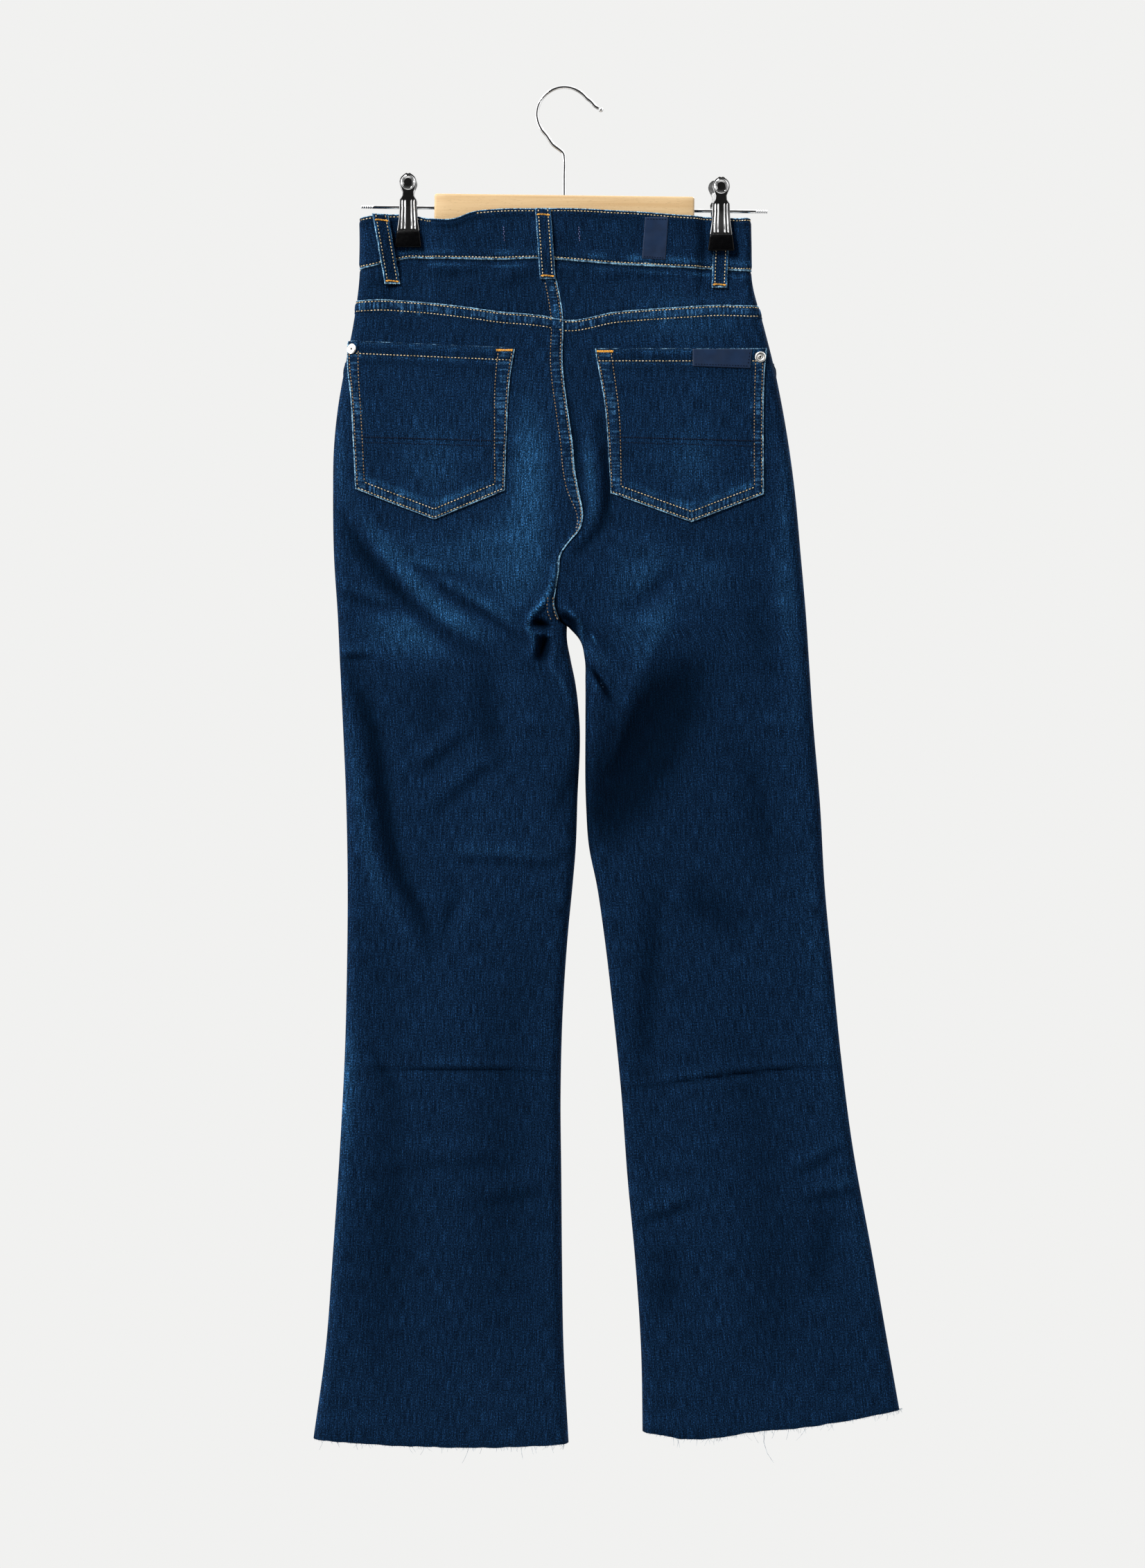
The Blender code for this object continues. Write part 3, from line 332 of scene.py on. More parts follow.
HANGER_TILT = math.radians(0.7)
WIRE = 3.0
HOOK_RADIUS = 23.5
HOOK_CENTRE_Z = -22.0
HOOK_ARC = (225.0, 38.0)
HOOK_STEM = ((0.0, -99.7), (0.0, -90), (0.0, -76), (0.0, -60), (-0.4, -57), (-1.6, -54.6),
             (-3.6, -52.8), (-9.6, -48.2))
HOOK_TIP = ((22.6, -10.8), (26.4, -15.0), (29.4, -16.8))
BALL_RADIUS = 2.1
BAR_SIZE = (223.0, 13.0, 26.0)
BAR_CENTRE_Z = -105.0
ROD_DIAMETER = 3.2
ROD_LENGTH = 349.0
ROD_CENTRE_Z = -103.5
PLATE_WALL = 1.0
PAD_THICKNESS = 5.0
PAD_HEIGHT = 14.0
PAD_WIDTHS = (19.5, 23.0)
SPRING_LENGTH = 12.0
# Clip plate: height, half width and distance from the clip's own middle plane.
PLATE_ROWS = (
    (27.8, 2.6, 11.2), (25.6, 5.4, 10.6), (21.0, 7.3, 9.4), (16.8, 6.4, 8.4), (12.6, 4.7, 7.5),
    (9.0, 5.0, 6.8), (5.6, 7.3, 6.2), (0.0, 7.5, 5.7), (-10.0, 7.9, 5.6), (-20.6, 9.4, 5.6),
)
RING_CENTRE = 20.6
CLIP_LEAN = 3.4


# ---- Sizes and colours that a user would change ----

def colour_setting(name, description, default):
    return bpy.props.FloatVectorProperty(
        name=name, description=description, default=default, subtype="COLOR", size=3, min=0.0,
        max=1.0,
    )


def number_setting(name, description, default, unit="NONE"):
    return bpy.props.FloatProperty(name=name, description=description, default=default, unit=unit)


class JeansDenim(bpy.types.PropertyGroup):
    # Deep is also the colour of the painted shade in fold hollows and stitch grooves.
    deep: colour_setting("Deep", "Unworn indigo in the hollows", (0.0006, 0.0052, 0.0150))
    middle: colour_setting("Middle", "Indigo of most of the cloth", (0.0040, 0.0172, 0.0470))
    faded: colour_setting("Faded", "Rubbed indigo on the seat and thighs", (0.0180, 0.080, 0.184))
    worn: colour_setting("Worn", "Pale blue of the rubbed seam edges", (0.280, 0.540, 0.780))
    rubbed: colour_setting("Rubbed", "Puckers beside the stitch rows", (0.060, 0.185, 0.370))
    reverse: colour_setting("Reverse", "Inner face of the cloth", (0.10, 0.15, 0.21))
    fringe: colour_setting("Fringe", "Loose threads of the raw hem", (0.50, 0.62, 0.70))
    contrast: number_setting("Contrast", "How much lighter the pale thread crossings are", 5.0)
    streak: number_setting("Streak width", "Usual width of the slub streaks", 0.0011, "LENGTH")


class JeansThread(bpy.types.PropertyGroup):
    gold: colour_setting("Gold", "Topstitching", (0.76, 0.59, 0.33))
    rust: colour_setting("Rust", "Topstitching of seams and pocket sides", (0.36, 0.24, 0.13))
    tack: colour_setting("Tack", "Bar tacks", (0.95, 0.45, 0.07))
    tonal: colour_setting("Tonal", "Navy stitching on pockets and patch", (0.0028, 0.0065, 0.0185))
    lilac: colour_setting("Lilac", "Tack marks of the waistband", (0.15, 0.16, 0.31))
    pitch: number_setting("Pitch", "From one stitch to the next", 0.00285, "LENGTH")
    length: number_setting("Stitch", "Length of a stitch", 0.0019, "LENGTH")
    width: number_setting("Thread", "Width of the thread", 0.00078, "LENGTH")


class JeansTrims(bpy.types.PropertyGroup):
    navy: colour_setting("Navy", "Satin patch and tab strip", (0.0042, 0.0205, 0.063))
    silver: colour_setting("Silver", "Rivets and button", (0.90, 0.88, 0.84))
    chrome: colour_setting("Chrome", "Hook, rod and clips", (0.80, 0.80, 0.80))
    beech_light: colour_setting("Beech", "Light grain of the bar", (0.765, 0.55, 0.305))
    beech_dark: colour_setting("Beech grain", "Dark grain of the bar", (0.64, 0.418, 0.204))
    rubber: colour_setting("Rubber", "Clip pads", (0.0015, 0.0015, 0.0018))


class JeansStage(bpy.types.PropertyGroup):
    backdrop: colour_setting("Backdrop", "Colour behind the object", (0.88, 0.88, 0.87))
    floor: number_setting("Floor", "Height of the floor below the hook", -1.6, "LENGTH")
    key: number_setting("Key light", "Power of the main soft light", 95.0, "POWER")
    fill: number_setting("Fill light", "Power of the weaker soft light", 9.0, "POWER")
    side: number_setting("Side light", "Power of the light grazing the left side", 22.0, "POWER")
    lens: number_setting("Lens", "Focal length of the camera", 120.0, "CAMERA")


# ---- Numbers ----

def ramp(value, start, end):
    """0 at start, 1 at end, smooth in between."""
    t = np.clip((value - start) / (end - start), 0.0, 1.0)
    return t * t * (3.0 - 2.0 * t)


def curve_through(points):
    """Smooth curve through (key, value) points, as a function of an array of keys."""
    keys, values = np.array(sorted(points), float).T
    steps = np.diff(keys)
    slopes = np.diff(values) / steps
    tangents = np.concatenate((
        slopes[:1],
        (slopes[:-1] * steps[1:] + slopes[1:] * steps[:-1]) / (steps[:-1] + steps[1:]),
        slopes[-1:],
    ))

    def at(key):
        key = np.clip(key, keys[0], keys[-1])
        i = np.clip(np.searchsorted(keys, key, side="right") - 1, 0, len(steps) - 1)
        t = (key - keys[i]) / steps[i]
        rise = t * t * (3 - 2 * t)
        return (
            values[i] + rise * (values[i + 1] - values[i])
            + steps[i] * (t * (1 - t) ** 2 * tangents[i] - t * t * (1 - t) * tangents[i + 1])
        )
    return at


def straight_through(points):
    keys, values = np.array(sorted(points), float).T
    return lambda key: np.interp(key, keys, values)


def columns_of(table, names):
    return {name: curve_through([(row[0], row[i + 1]) for row in table])
            for i, name in enumerate(names)}


OUTLINE_AT = columns_of(OUTLINE, SIDES)
INSEAM_AT = columns_of(INSEAM, SIDES)
CENTRE_AT = columns_of(CENTRE_SEAM, LAYERS)
DEPTH_AT = columns_of(DEPTHS, LAYERS)
BACK_AT = columns_of(BACK_LINES, ("top", "waist", "yoke"))
FRONT_AT = columns_of(FRONT_LINES, ("top", "waist"))
LINES_AT = {"back": BACK_AT, "front": FRONT_AT}
HEM_AT = {side: curve_through(HEMS[side]) for side in SIDES}
LATTICE = np.random.default_rng(7).uniform(-1.0, 1.0, (97, 89))


def hem_at(side, x):
    """Height of the raw, slightly uneven hem."""
    x = np.asarray(x, float)
    return HEM_AT[side](x) + 0.45 * ripple(x, 0 * x, 7, 1, 17) + 0.2 * ripple(x, 0 * x, 2.2, 1, 18)


def ripple(x, z, wide, tall, seed=0):
    """Smooth noise from -1 to 1 with bumps of about the given size."""
    u, v = x / wide + 13.7 * seed, z / tall + 5.3 * seed
    i, j = np.floor(u).astype(int), np.floor(v).astype(int)
    a, b = u - i, v - j
    a, b = a * a * (3 - 2 * a), b * b * (3 - 2 * b)

    def corner(di, dj):
        return LATTICE[(i + di) % 97, (j + dj) % 89]
    low = corner(0, 0) * (1 - a) + corner(1, 0) * a
    high = corner(0, 1) * (1 - a) + corner(1, 1) * a
    return low * (1 - b) + high * b


def unit(vectors):
    return vectors / np.maximum(np.linalg.norm(vectors, axis=-1, keepdims=True), 1e-9)


def run_along(points):
    """Length of a broken line up to each of its points."""
    return np.concatenate(([0], np.linalg.norm(np.diff(points, axis=0), axis=1).cumsum()))


def sampled(points, run, at):
    """Points of a broken line at the given lengths along it."""
    return np.stack([np.interp(at, run, column) for column in points.T], -1)


def smooth_path(points, steps=7):
    """Points of a smooth curve through a few given ones."""
    points = np.array(points, float)
    run = run_along(points)
    at = np.linspace(0, run[-1], (len(points) - 1) * steps + 1)
    return np.stack([curve_through(list(zip(run, column)))(at) for column in points.T], -1)


def path_offset(path, x, z):
    """Signed distance from a path, positive on its left, and the share of its length."""
    best = np.full(x.shape, 1e9)
    across, along = np.zeros(x.shape), np.zeros(x.shape)
    lengths = np.linalg.norm(np.diff(path, axis=0), axis=1)
    run = 0.0
    for (ax, az), (bx, bz), length in zip(path, path[1:], lengths):
        ux, uz = (bx - ax) / length, (bz - az) / length
        s = np.clip((x - ax) * ux + (z - az) * uz, 0, length)
        dx, dz = x - ax - s * ux, z - az - s * uz
        distance = np.hypot(dx, dz)
        nearer = distance < best
        best = np.where(nearer, distance, best)
        across = np.where(nearer, np.where(ux * dz - uz * dx >= 0, distance, -distance), across)
        along = np.where(nearer, (run + s) / lengths.sum(), along)
        run += length
    return across, along


CREASE_PATHS = {layer: [(smooth_path(row[0]), *row[1:]) for row in CREASES[layer]]
                for layer in LAYERS}


# ---- Shape of the hanging garment ----

def outward(layer):
    """Sign of y that points out of the garment on this layer."""
    return -1.0 if layer == "back" else 1.0


def side_sign(side):
    return -1.0 if side == "left" else 1.0


def outer_x(side, z):
    """Middle of the wall at the silhouette."""
    return OUTLINE_AT[side](z) - side_sign(side) * PANEL_WALL / 2


def inner_x(side, layer, z):
    """Centre seam above the crotch, inseam below it, kept clear of the other half."""
    easing = GAP / 2 + 1.05 * ramp(-z, 430.0, 445.0)
    above = CENTRE_AT[layer](z) + side_sign(side) * easing
    clear = (GAP + PANEL_WALL) / 2 + 0.45 * (1 - ramp(-z, -CROTCH, 475.0))
    below = INSEAM_AT[side](z) + side_sign(side) * clear
    return np.where(z >= CROTCH, above, below)


def is_left(layer, x, z):
    middle = (INSEAM_AT["left"](z) + INSEAM_AT["right"](z)) / 2
    return x < np.where(z >= CROTCH, CENTRE_AT[layer](z), middle)


def crease_depth(layer, x, z, rubbed=False):
    """How far the creases pull a point in, or where their sharp ridges are rubbed paler, which also
    paints a highlight along them.
    """
    total = np.zeros(x.shape)
    for path, width, depth, ridge in CREASE_PATHS[layer]:
        if rubbed and (depth > -2.0 or width > 2.2):
            continue
        reach = 4.5 * width
        low, high = path.min(0) - reach, path.max(0) + reach
        near = (x > low[0]) & (x < high[0]) & (z > low[1]) & (z < high[1])
        if not near.any():
            continue
        across, along = path_offset(path, x[near], z[near])
        taper = np.clip(np.sin(np.pi * along), 0, 1) ** 0.7
        if rubbed:
            total[near] += taper * np.exp(-(across / (0.4 * width)) ** 2)
            continue
        beside = (across - math.copysign(1.8 * width, ridge)) / (1.3 * width)
        total[near] += taper * (
            depth * np.exp(-(across / width) ** 2) - abs(ridge) * np.exp(-beside ** 2)
        )
    return total


def full_depth(layer, x, z):
    """Distance of the flat part of a layer from the middle plane."""
    depth = DEPTH_AT[layer](z) - crease_depth(layer, x, z)
    seed = LAYERS.index(layer) * 3 + 1
    depth = depth + 0.55 * ripple(x, z, 34, 70, seed) + 0.22 * ripple(x, z, 11, 24, seed + 1)
    down = ramp(z, PINCH_FADE, PINCH_BOTTOM)
    across = 1.0 - ramp(
        np.minimum(abs(x - CLIP_X["left"]), abs(x - CLIP_X["right"])), PINCH_FLAT, PINCH_END)
    return depth + (PINCH_DEPTH - depth) * across * down


def edge_rise(distance, radius):
    """Height of a rounded edge, from 0 at the edge to 1 at its radius."""
    return np.sqrt(1 - np.clip(1 - distance / radius, 0, 1) ** 2)


def garment_y(layer, x, z, radius=EDGE_RADIUS, closing=True):
    """Signed y of the middle of the cloth at x and z."""
    left = is_left(layer, x, z)
    sign = np.where(left, -1.0, 1.0)
    out_at = np.where(left, outer_x("left", z), outer_x("right", z))
    rise = edge_rise(np.maximum(sign * (out_at - x), 0), radius)
    if closing:
        in_at = np.where(left, inner_x("left", layer, z), inner_x("right", layer, z))
        inner = edge_rise(np.maximum(sign * (x - in_at), 0), radius)
        rise = rise * (1 - (1 - ramp(z, CROTCH, CLOSING_FROM)) * (1 - inner))
    return outward(layer) * np.maximum(GAP / 2, full_depth(layer, x, z) * rise)


def on_cloth(layer, x, z, lift=0.0, radius=EDGE_RADIUS, closing=True):
    """Points above the cloth at x and z, and the cloth's normals there."""
    x, z = np.asarray(x, float), np.asarray(z, float)
    step = 0.5

    def at(px, pz):
        return np.stack([px, garment_y(layer, px, pz, radius, closing), pz], -1)
    normal = unit(np.cross(at(x + step, z) - at(x - step, z), at(x, z + step) - at(x, z - step)))
    normal *= np.sign(normal[..., 1:2] * outward(layer))
    return at(x, z) + normal * np.asarray(lift)[..., None], normal


def groove(distance, rows):
    """1 along the stitch rows at the given distances from an edge."""
    return sum(np.exp(-((distance - row) / GROOVE_HALF) ** 2) for row in rows)


def lap(distance, rows, x, z):
    """Relief of a lapped seam: a doubled edge, puckered between its stitch rows."""
    doubled = 1 - ramp(distance, rows[-1] + 0.4, rows[-1] + 2.6)
    inside = ramp(distance, rows[0], rows[0] + 2) * (1 - ramp(distance, rows[-1] - 2, rows[-1]))
    return (
        LAP_RISE * doubled + inside * (0.25 + 0.3 * ripple(x, z, 4.2, 4.2, 9))
        - GROOVE_DEPTH * groove(distance, rows)
    )


def from_centre(side, layer, x, z):
    """Distance from the centre seam, on the side that laps over the other."""
    return (inner_x(side, layer, z) - x) * -side_sign(side)


def scoop_corner(side):
    """Where the front pocket's opening has its centre, at the side and the waist seam."""
    x = OUTLINE_AT[side](SCOOP_LEVEL)
    return x, FRONT_AT["waist"](x)


def scoop_share(side, x, z):
    """1 along the front pocket's opening, and less inside it."""
    corner_x, corner_z = scoop_corner(side)
    return np.hypot((x - corner_x) / SCOOP_ACROSS, (z - corner_z) / SCOOP_DOWN)


def scoop_distance(side, x, z):
    """How far outside the front pocket's opening a point is."""
    return (scoop_share(side, x, z) - 1) * (SCOOP_ACROSS + SCOOP_DOWN) / 2


def centre_pull(z):
    """How much the centre seam's second row has drawn in towards the first."""
    return 1 - 0.76 * (ramp(-z, 340.0, 378.0) - 0.56 * ramp(-z, 412.0, 436.0))


def seam_marks(piece, side, x, z):
    """Relief, distance to the nearest worn edge, way along it and stitch grooves."""
    relief, rim, sunk = np.zeros(x.shape), np.full(x.shape, NO_RIM), np.zeros(x.shape)
    run = z

    def edge(distance, rows, there=1.0, along=z, narrow=1.0):
        nonlocal relief, rim, sunk, run
        here = np.asarray(there) > 0.5
        relief = np.maximum(relief, lap(distance, rows, x, z) * there)
        run = np.where(here & (distance < rim), along, run)
        rim = np.where(here, np.minimum(rim, distance * narrow), rim)
        sunk = np.maximum(sunk, groove(distance, rows) * there)
    if piece == "back":
        edge(BACK_AT["yoke"](x) - z, LAP_ROWS, along=x)
    if piece in ("back", "yoke") and side == "left":
        inside = from_centre(side, "back", x, z)
        first = CENTRE_ROWS[0]
        inside = np.where(inside > first, first + (inside - first) / centre_pull(z), inside)
        narrow = 1 - 0.5 * ramp(-z, 280, 330) * ramp(z, -438, -430)
        edge(inside, CENTRE_ROWS, ramp(z, CROTCH, CROTCH + 12),
             narrow=np.where(inside < 2.6, narrow, 1.0))
        rim = np.where((rim > 1.3) & (z < -400), NO_RIM, rim)
    if piece == "front":
        beyond = scoop_distance(side, x, z)
        edge(np.maximum(beyond, 0), LAP_ROWS, 1.0 * (beyond > -9) * (z > -250))
        if side == "left":
            edge(from_centre(side, "front", x, z) + FLY_LAP, (3.0, 9.0),
                 ramp(z, FLY_BOTTOM - 4, FLY_BOTTOM + 4))
    return relief, rim * (1 + 0.45 * ripple(x, z, 5, 5, 23)), run, sunk


def faded(layer, x, z):
    """Share of fading at x and z, less just above the hem, with painted shade in crease hollows and
    painted highlights on ridges.
    """
    total = np.zeros(x.shape)
    for at_x, at_z, wide, tall, lean, strength in FADE_AND_SHADE_SPOTS[layer]:
        across, down = (x - at_x - lean * (z - at_z)) / wide, (z - at_z) / tall
        total += strength * np.exp(-(across ** 2 + down ** 2))
    # Painted shade in crease hollows and a painted highlight along sharp ridges, partly also unworn
    # and rubbed indigo.
    high = -crease_depth(layer, x, z) + 2.0 * crease_depth(layer, x, z, rubbed=True)
    hem = z - np.where(x < 35.0, hem_at("left", x), hem_at("right", x))
    return np.clip(total + 0.15 * high + 0.05 * ripple(x, z, 40, 90, 5)
                   - 0.22 * np.exp(-(hem / 4.0) ** 2), -1.1, 1.2)


# ---- Meshes ----


def add_piece(name, vertices, faces, finishes, replaces=(), inner_from=None):
    """Makes a smooth-shaded mesh piece from millimetres, and rides it on the body."""
    mesh = bpy.data.meshes.new(name)
    mesh.from_pydata((np.asarray(vertices) * MM).tolist(), [], faces)
    mesh.validate()
    for finish in finishes:
        mesh.materials.append(finish_of(finish))
    if inner_from is not None:
        marks = np.zeros(len(mesh.polygons), np.int32)
        marks[inner_from:] = 1
        mesh.polygons.foreach_set("material_index", marks)
    mesh.shade_smooth()
    mesh.set_sharp_from_angle(angle=math.radians(52))
    mesh.update()
    piece = bpy.data.objects.new(name, mesh)
    bpy.context.scene.collection.objects.link(piece)
    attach(piece, BODY)
    if replaces:
        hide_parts(*replaces)
    return piece


def set_mark(mesh, name, values):
    mesh.attributes.new(name, "FLOAT", "POINT").data.foreach_set(
        "value", np.asarray(values, np.float32).ravel())


def set_weave(mesh, across, along):
    """Stores the cloth's own grain, in metres, as its map."""
    corners = np.empty(len(mesh.loops), np.int32)
    mesh.loops.foreach_get("vertex_index", corners)
    grain = np.stack([np.ravel(across), np.ravel(along)], -1)[corners] * MM
    mesh.uv_layers.new(name="weave").data.foreach_set("uv", grain.astype(np.float32).ravel())


def facing(points, layer):
    """Normals of a grid of points, turned out of the garment."""
    down, across = np.gradient(points, axis=(0, 1))
    normals = unit(np.cross(across, down))
    return normals * np.sign((normals[..., 1] * outward(layer)).mean())


def shell(name, outer, inner, finishes=("denim", "reverse"), replaces=(), keep=None, weave=None,
          **marks):
    """A closed cloth shell between two like grids of points, with named marks on its face."""
    rows, cols = outer.shape[:2]
    count = rows * cols
    index = np.arange(count).reshape(rows, cols)
    quads = np.stack([index[:-1, :-1], index[:-1, 1:], index[1:, 1:], index[1:, :-1]], -1)
    quads = quads.reshape(-1, 4) if keep is None else quads[keep]
    points = outer.reshape(-1, 3)
    a, b, c, d = (points[quads[:, i]] for i in range(4))
    if (np.cross(c - a, d - b) * (outer - inner).reshape(-1, 3)[quads[:, 0]]).sum() < 0:
        quads = quads[:, ::-1]
    edges = np.concatenate([quads[:, [i, (i + 1) % 4]] for i in range(4)])
    keys = np.sort(edges, axis=1)
    _, first, uses = np.unique(keys[:, 0] * count + keys[:, 1], return_index=True,
                               return_counts=True)
    border = edges[first[uses == 1]]
    rim = np.stack([border[:, 1], border[:, 0], border[:, 0] + count, border[:, 1] + count], -1)
    faces = np.concatenate([quads, rim, quads[:, ::-1] + count])
    used = np.unique(faces)
    renumber = np.zeros(2 * count, int)
    renumber[used] = np.arange(len(used))
    vertices = np.concatenate([points, inner.reshape(-1, 3)])[used]
    inner_from = len(quads) + len(rim) if len(finishes) > 1 else None
    piece = add_piece(name, vertices, renumber[faces].tolist(), finishes, replaces,
                      inner_from=inner_from)
    grain = weave or (outer[..., 0], outer[..., 2])
    set_weave(piece.data, *(np.tile(np.ravel(part), 2)[used] for part in grain))
    for mark, ground in (("rim", NO_RIM), ("run", 0.0), ("fade", 0.0), ("groove", 0.0)):
        plain = np.full(count, ground)
        values = np.ravel(marks.get(mark, plain))
        set_mark(piece.data, mark, np.concatenate([values, plain])[used])
    return piece


EDGES = ("top", "bottom", "left", "right")


def border_distance(points, sides):
    """Distance of each grid point from the nearest of the grid's named borders."""
    down = np.linalg.norm(np.diff(points, axis=0, prepend=points[:1]), axis=-1).cumsum(0)
    across = np.linalg.norm(np.diff(points, axis=1, prepend=points[:, :1]), axis=-1).cumsum(1)
    ways = dict(zip(EDGES, (down, down[-1:] - down, across, across[:, -1:] - across)))
    return np.minimum.reduce([np.full(down.shape, 1e3)] + [ways[side] for side in sides])


def cloth_shell(name, middle, wall, relief, normals, rounded=EDGES[:2], **rest):
    """A shell of even wall round a middle surface, thin along its rounded borders."""
    half = wall / 2 * np.maximum(edge_rise(border_distance(middle, rounded), wall / 2), 0.15)
    outer = middle + normals * (half + relief)[..., None]
    return shell(name, outer, middle - normals * half[..., None], **rest)


def loft(rings):
    """Vertices and faces of a closed solid through rings of points."""
    rings = np.asarray(rings, float)
    count, sides = rings.shape[:2]
    index = np.arange(count * sides).reshape(count, sides)
    after = np.roll(index, -1, axis=1)
    faces = np.stack([index[:-1], after[:-1], after[1:], index[1:]], -1).reshape(-1, 4).tolist()
    return rings.reshape(-1, 3), faces + [index[0, ::-1].tolist(), index[-1].tolist()]


def solid(name, parts, finish, replaces=()):
    """A piece of one or more lofted solids, its faces turned outwards."""
    vertices, faces, start = [], [], 0
    for points, corners in parts:
        vertices.append(points)
        faces += [[start + corner for corner in face] for face in corners]
        start += len(points)
    piece = add_piece(name, np.concatenate(vertices), faces, [finish], replaces)
    bm = bmesh.new()
    bm.from_mesh(piece.data)
    bmesh.ops.recalc_face_normals(bm, faces=bm.faces[:])
    bm.to_mesh(piece.data)
    bm.free()


def circle(side, other, sides):
    """A ring of unit radius in the plane of two directions."""
    turns = np.linspace(0, math.tau, sides, endpoint=False)
    return np.outer(np.cos(turns), side) + np.outer(np.sin(turns), other)


def tube(path, radius, sides=16):
    """Rings round a path, kept from twisting."""
    path = np.asarray(path, float)
    tangents = unit(np.gradient(path, axis=0))
    side = np.cross(tangents[0], (0.3, 0.9, 0.2))
    rings = []
    for point, tangent in zip(path, tangents):
        side = unit(side - tangent * side.dot(tangent))
        rings.append(point + radius * circle(side, np.cross(tangent, side), sides))
    return loft(rings)


def turned(profile, centre, axis, sides=32):
    """A turned solid: radius and height of each step along an axis from a centre."""
    axis = unit(np.asarray(axis, float))
    side = unit(np.cross(axis, (0.31, 0.27, 0.91)))
    ring = circle(side, np.cross(axis, side), sides)
    return loft([np.asarray(centre) + axis * height + ring * max(radius, 0.01)
                 for radius, height in profile])


def rounded_ring(centre, u, v, half_u, half_v, radius, steps=4):
    """A ring of points round a rectangle with rounded corners."""
    centre, u, v = (np.asarray(part) for part in (centre, u, v))
    points = []
    for corner, (su, sv) in enumerate(((1, 1), (-1, 1), (-1, -1), (1, -1))):
        for step in range(steps + 1):
            angle = math.pi / 2 * (corner + step / steps)
            points.append(centre + u * (su * (half_u - radius) + radius * math.cos(angle))
                          + v * (sv * (half_v - radius) + radius * math.sin(angle)))
    return points


# ---- Stitches ----

GRAIN = np.array(
    [(-0.5, 0.0, -0.35)]
    + [(a, 0.5 * math.sin(math.tau * k / 6), 0.05 + 0.42 * math.cos(math.tau * k / 6))
       for a in (-0.3, 0.3) for k in range(6)]
    + [(0.5, 0.0, -0.35)])
GRAIN_FACES = (
    [(0, 1 + (k + 1) % 6, 1 + k) for k in range(6)]
    + [(1 + k, 1 + (k + 1) % 6, 7 + (k + 1) % 6, 7 + k) for k in range(6)]
    + [(13, 7 + k, 7 + (k + 1) % 6) for k in range(6)])


def stitches(points, normals, pitch=None, length=None, width=None):
    """Grains of thread along a dense line of points on the cloth."""
    thread = bpy.context.scene.jeans_thread
    pitch = pitch or thread.pitch / MM
    length = length or thread.length / MM
    width = width or thread.width / MM
    run = run_along(points)
    count = max(1, int(run[-1] / pitch))
    middle = (np.arange(count) + 0.5) * run[-1] / count
    along = unit(sampled(points, run, middle + length / 2)
                 - sampled(points, run, middle - length / 2))
    across = unit(np.cross(sampled(normals, run, middle), along))
    axes = np.stack([along * length, across * width, np.cross(along, across) * width], 1)
    vertices = sampled(points, run, middle)[:, None] + np.einsum("gk,nkc->ngc", GRAIN, axes)
    return vertices.reshape(-1, 3)


def sew(name, rows, finish):
    """Joins all the stitches of some rows into one piece."""
    vertices = np.concatenate(rows)
    count = len(vertices) // len(GRAIN)
    faces = [[corner + start for corner in face]
             for start in range(0, count * len(GRAIN), len(GRAIN)) for face in GRAIN_FACES]
    piece = add_piece(name, vertices, faces, [finish])
    tones = np.random.default_rng(len(vertices)).uniform(0.0, 1.0, count)
    set_mark(piece.data, "tone", np.repeat(tones, len(GRAIN)))


def dense(points, step=1.0):
    """Points every millimetre along a broken line."""
    points = np.array(points, float)
    run = run_along(points)
    return sampled(points, run, np.linspace(0, run[-1], max(2, int(run[-1] / step))))


def row_on(layer, x, z, lift, radius=EDGE_RADIUS, closing=True, **thread):
    """Stitches along a line of points at x and z, standing on the cloth."""
    return stitches(*on_cloth(layer, x, z, lift, radius, closing), **thread)


def pocket_tack(x, z, lift, length=14.0, width=2.4):
    """A bar tack at a pocket's corner: threads laid close together across a short bar."""
    count = int(length / 0.75)
    rows = []
    for k in range(count):
        middle = x + ((k + 0.5) / count - 0.5) * length
        lean = 0.09 * width * (-1) ** k
        line = dense([(middle - lean, z + width / 2), (middle + lean, z - width / 2)], 0.4)
        rows.append(row_on("back", *line.T, lift, pitch=width, length=width, width=0.8))
    return np.concatenate(rows)


# ---- Finishes ----

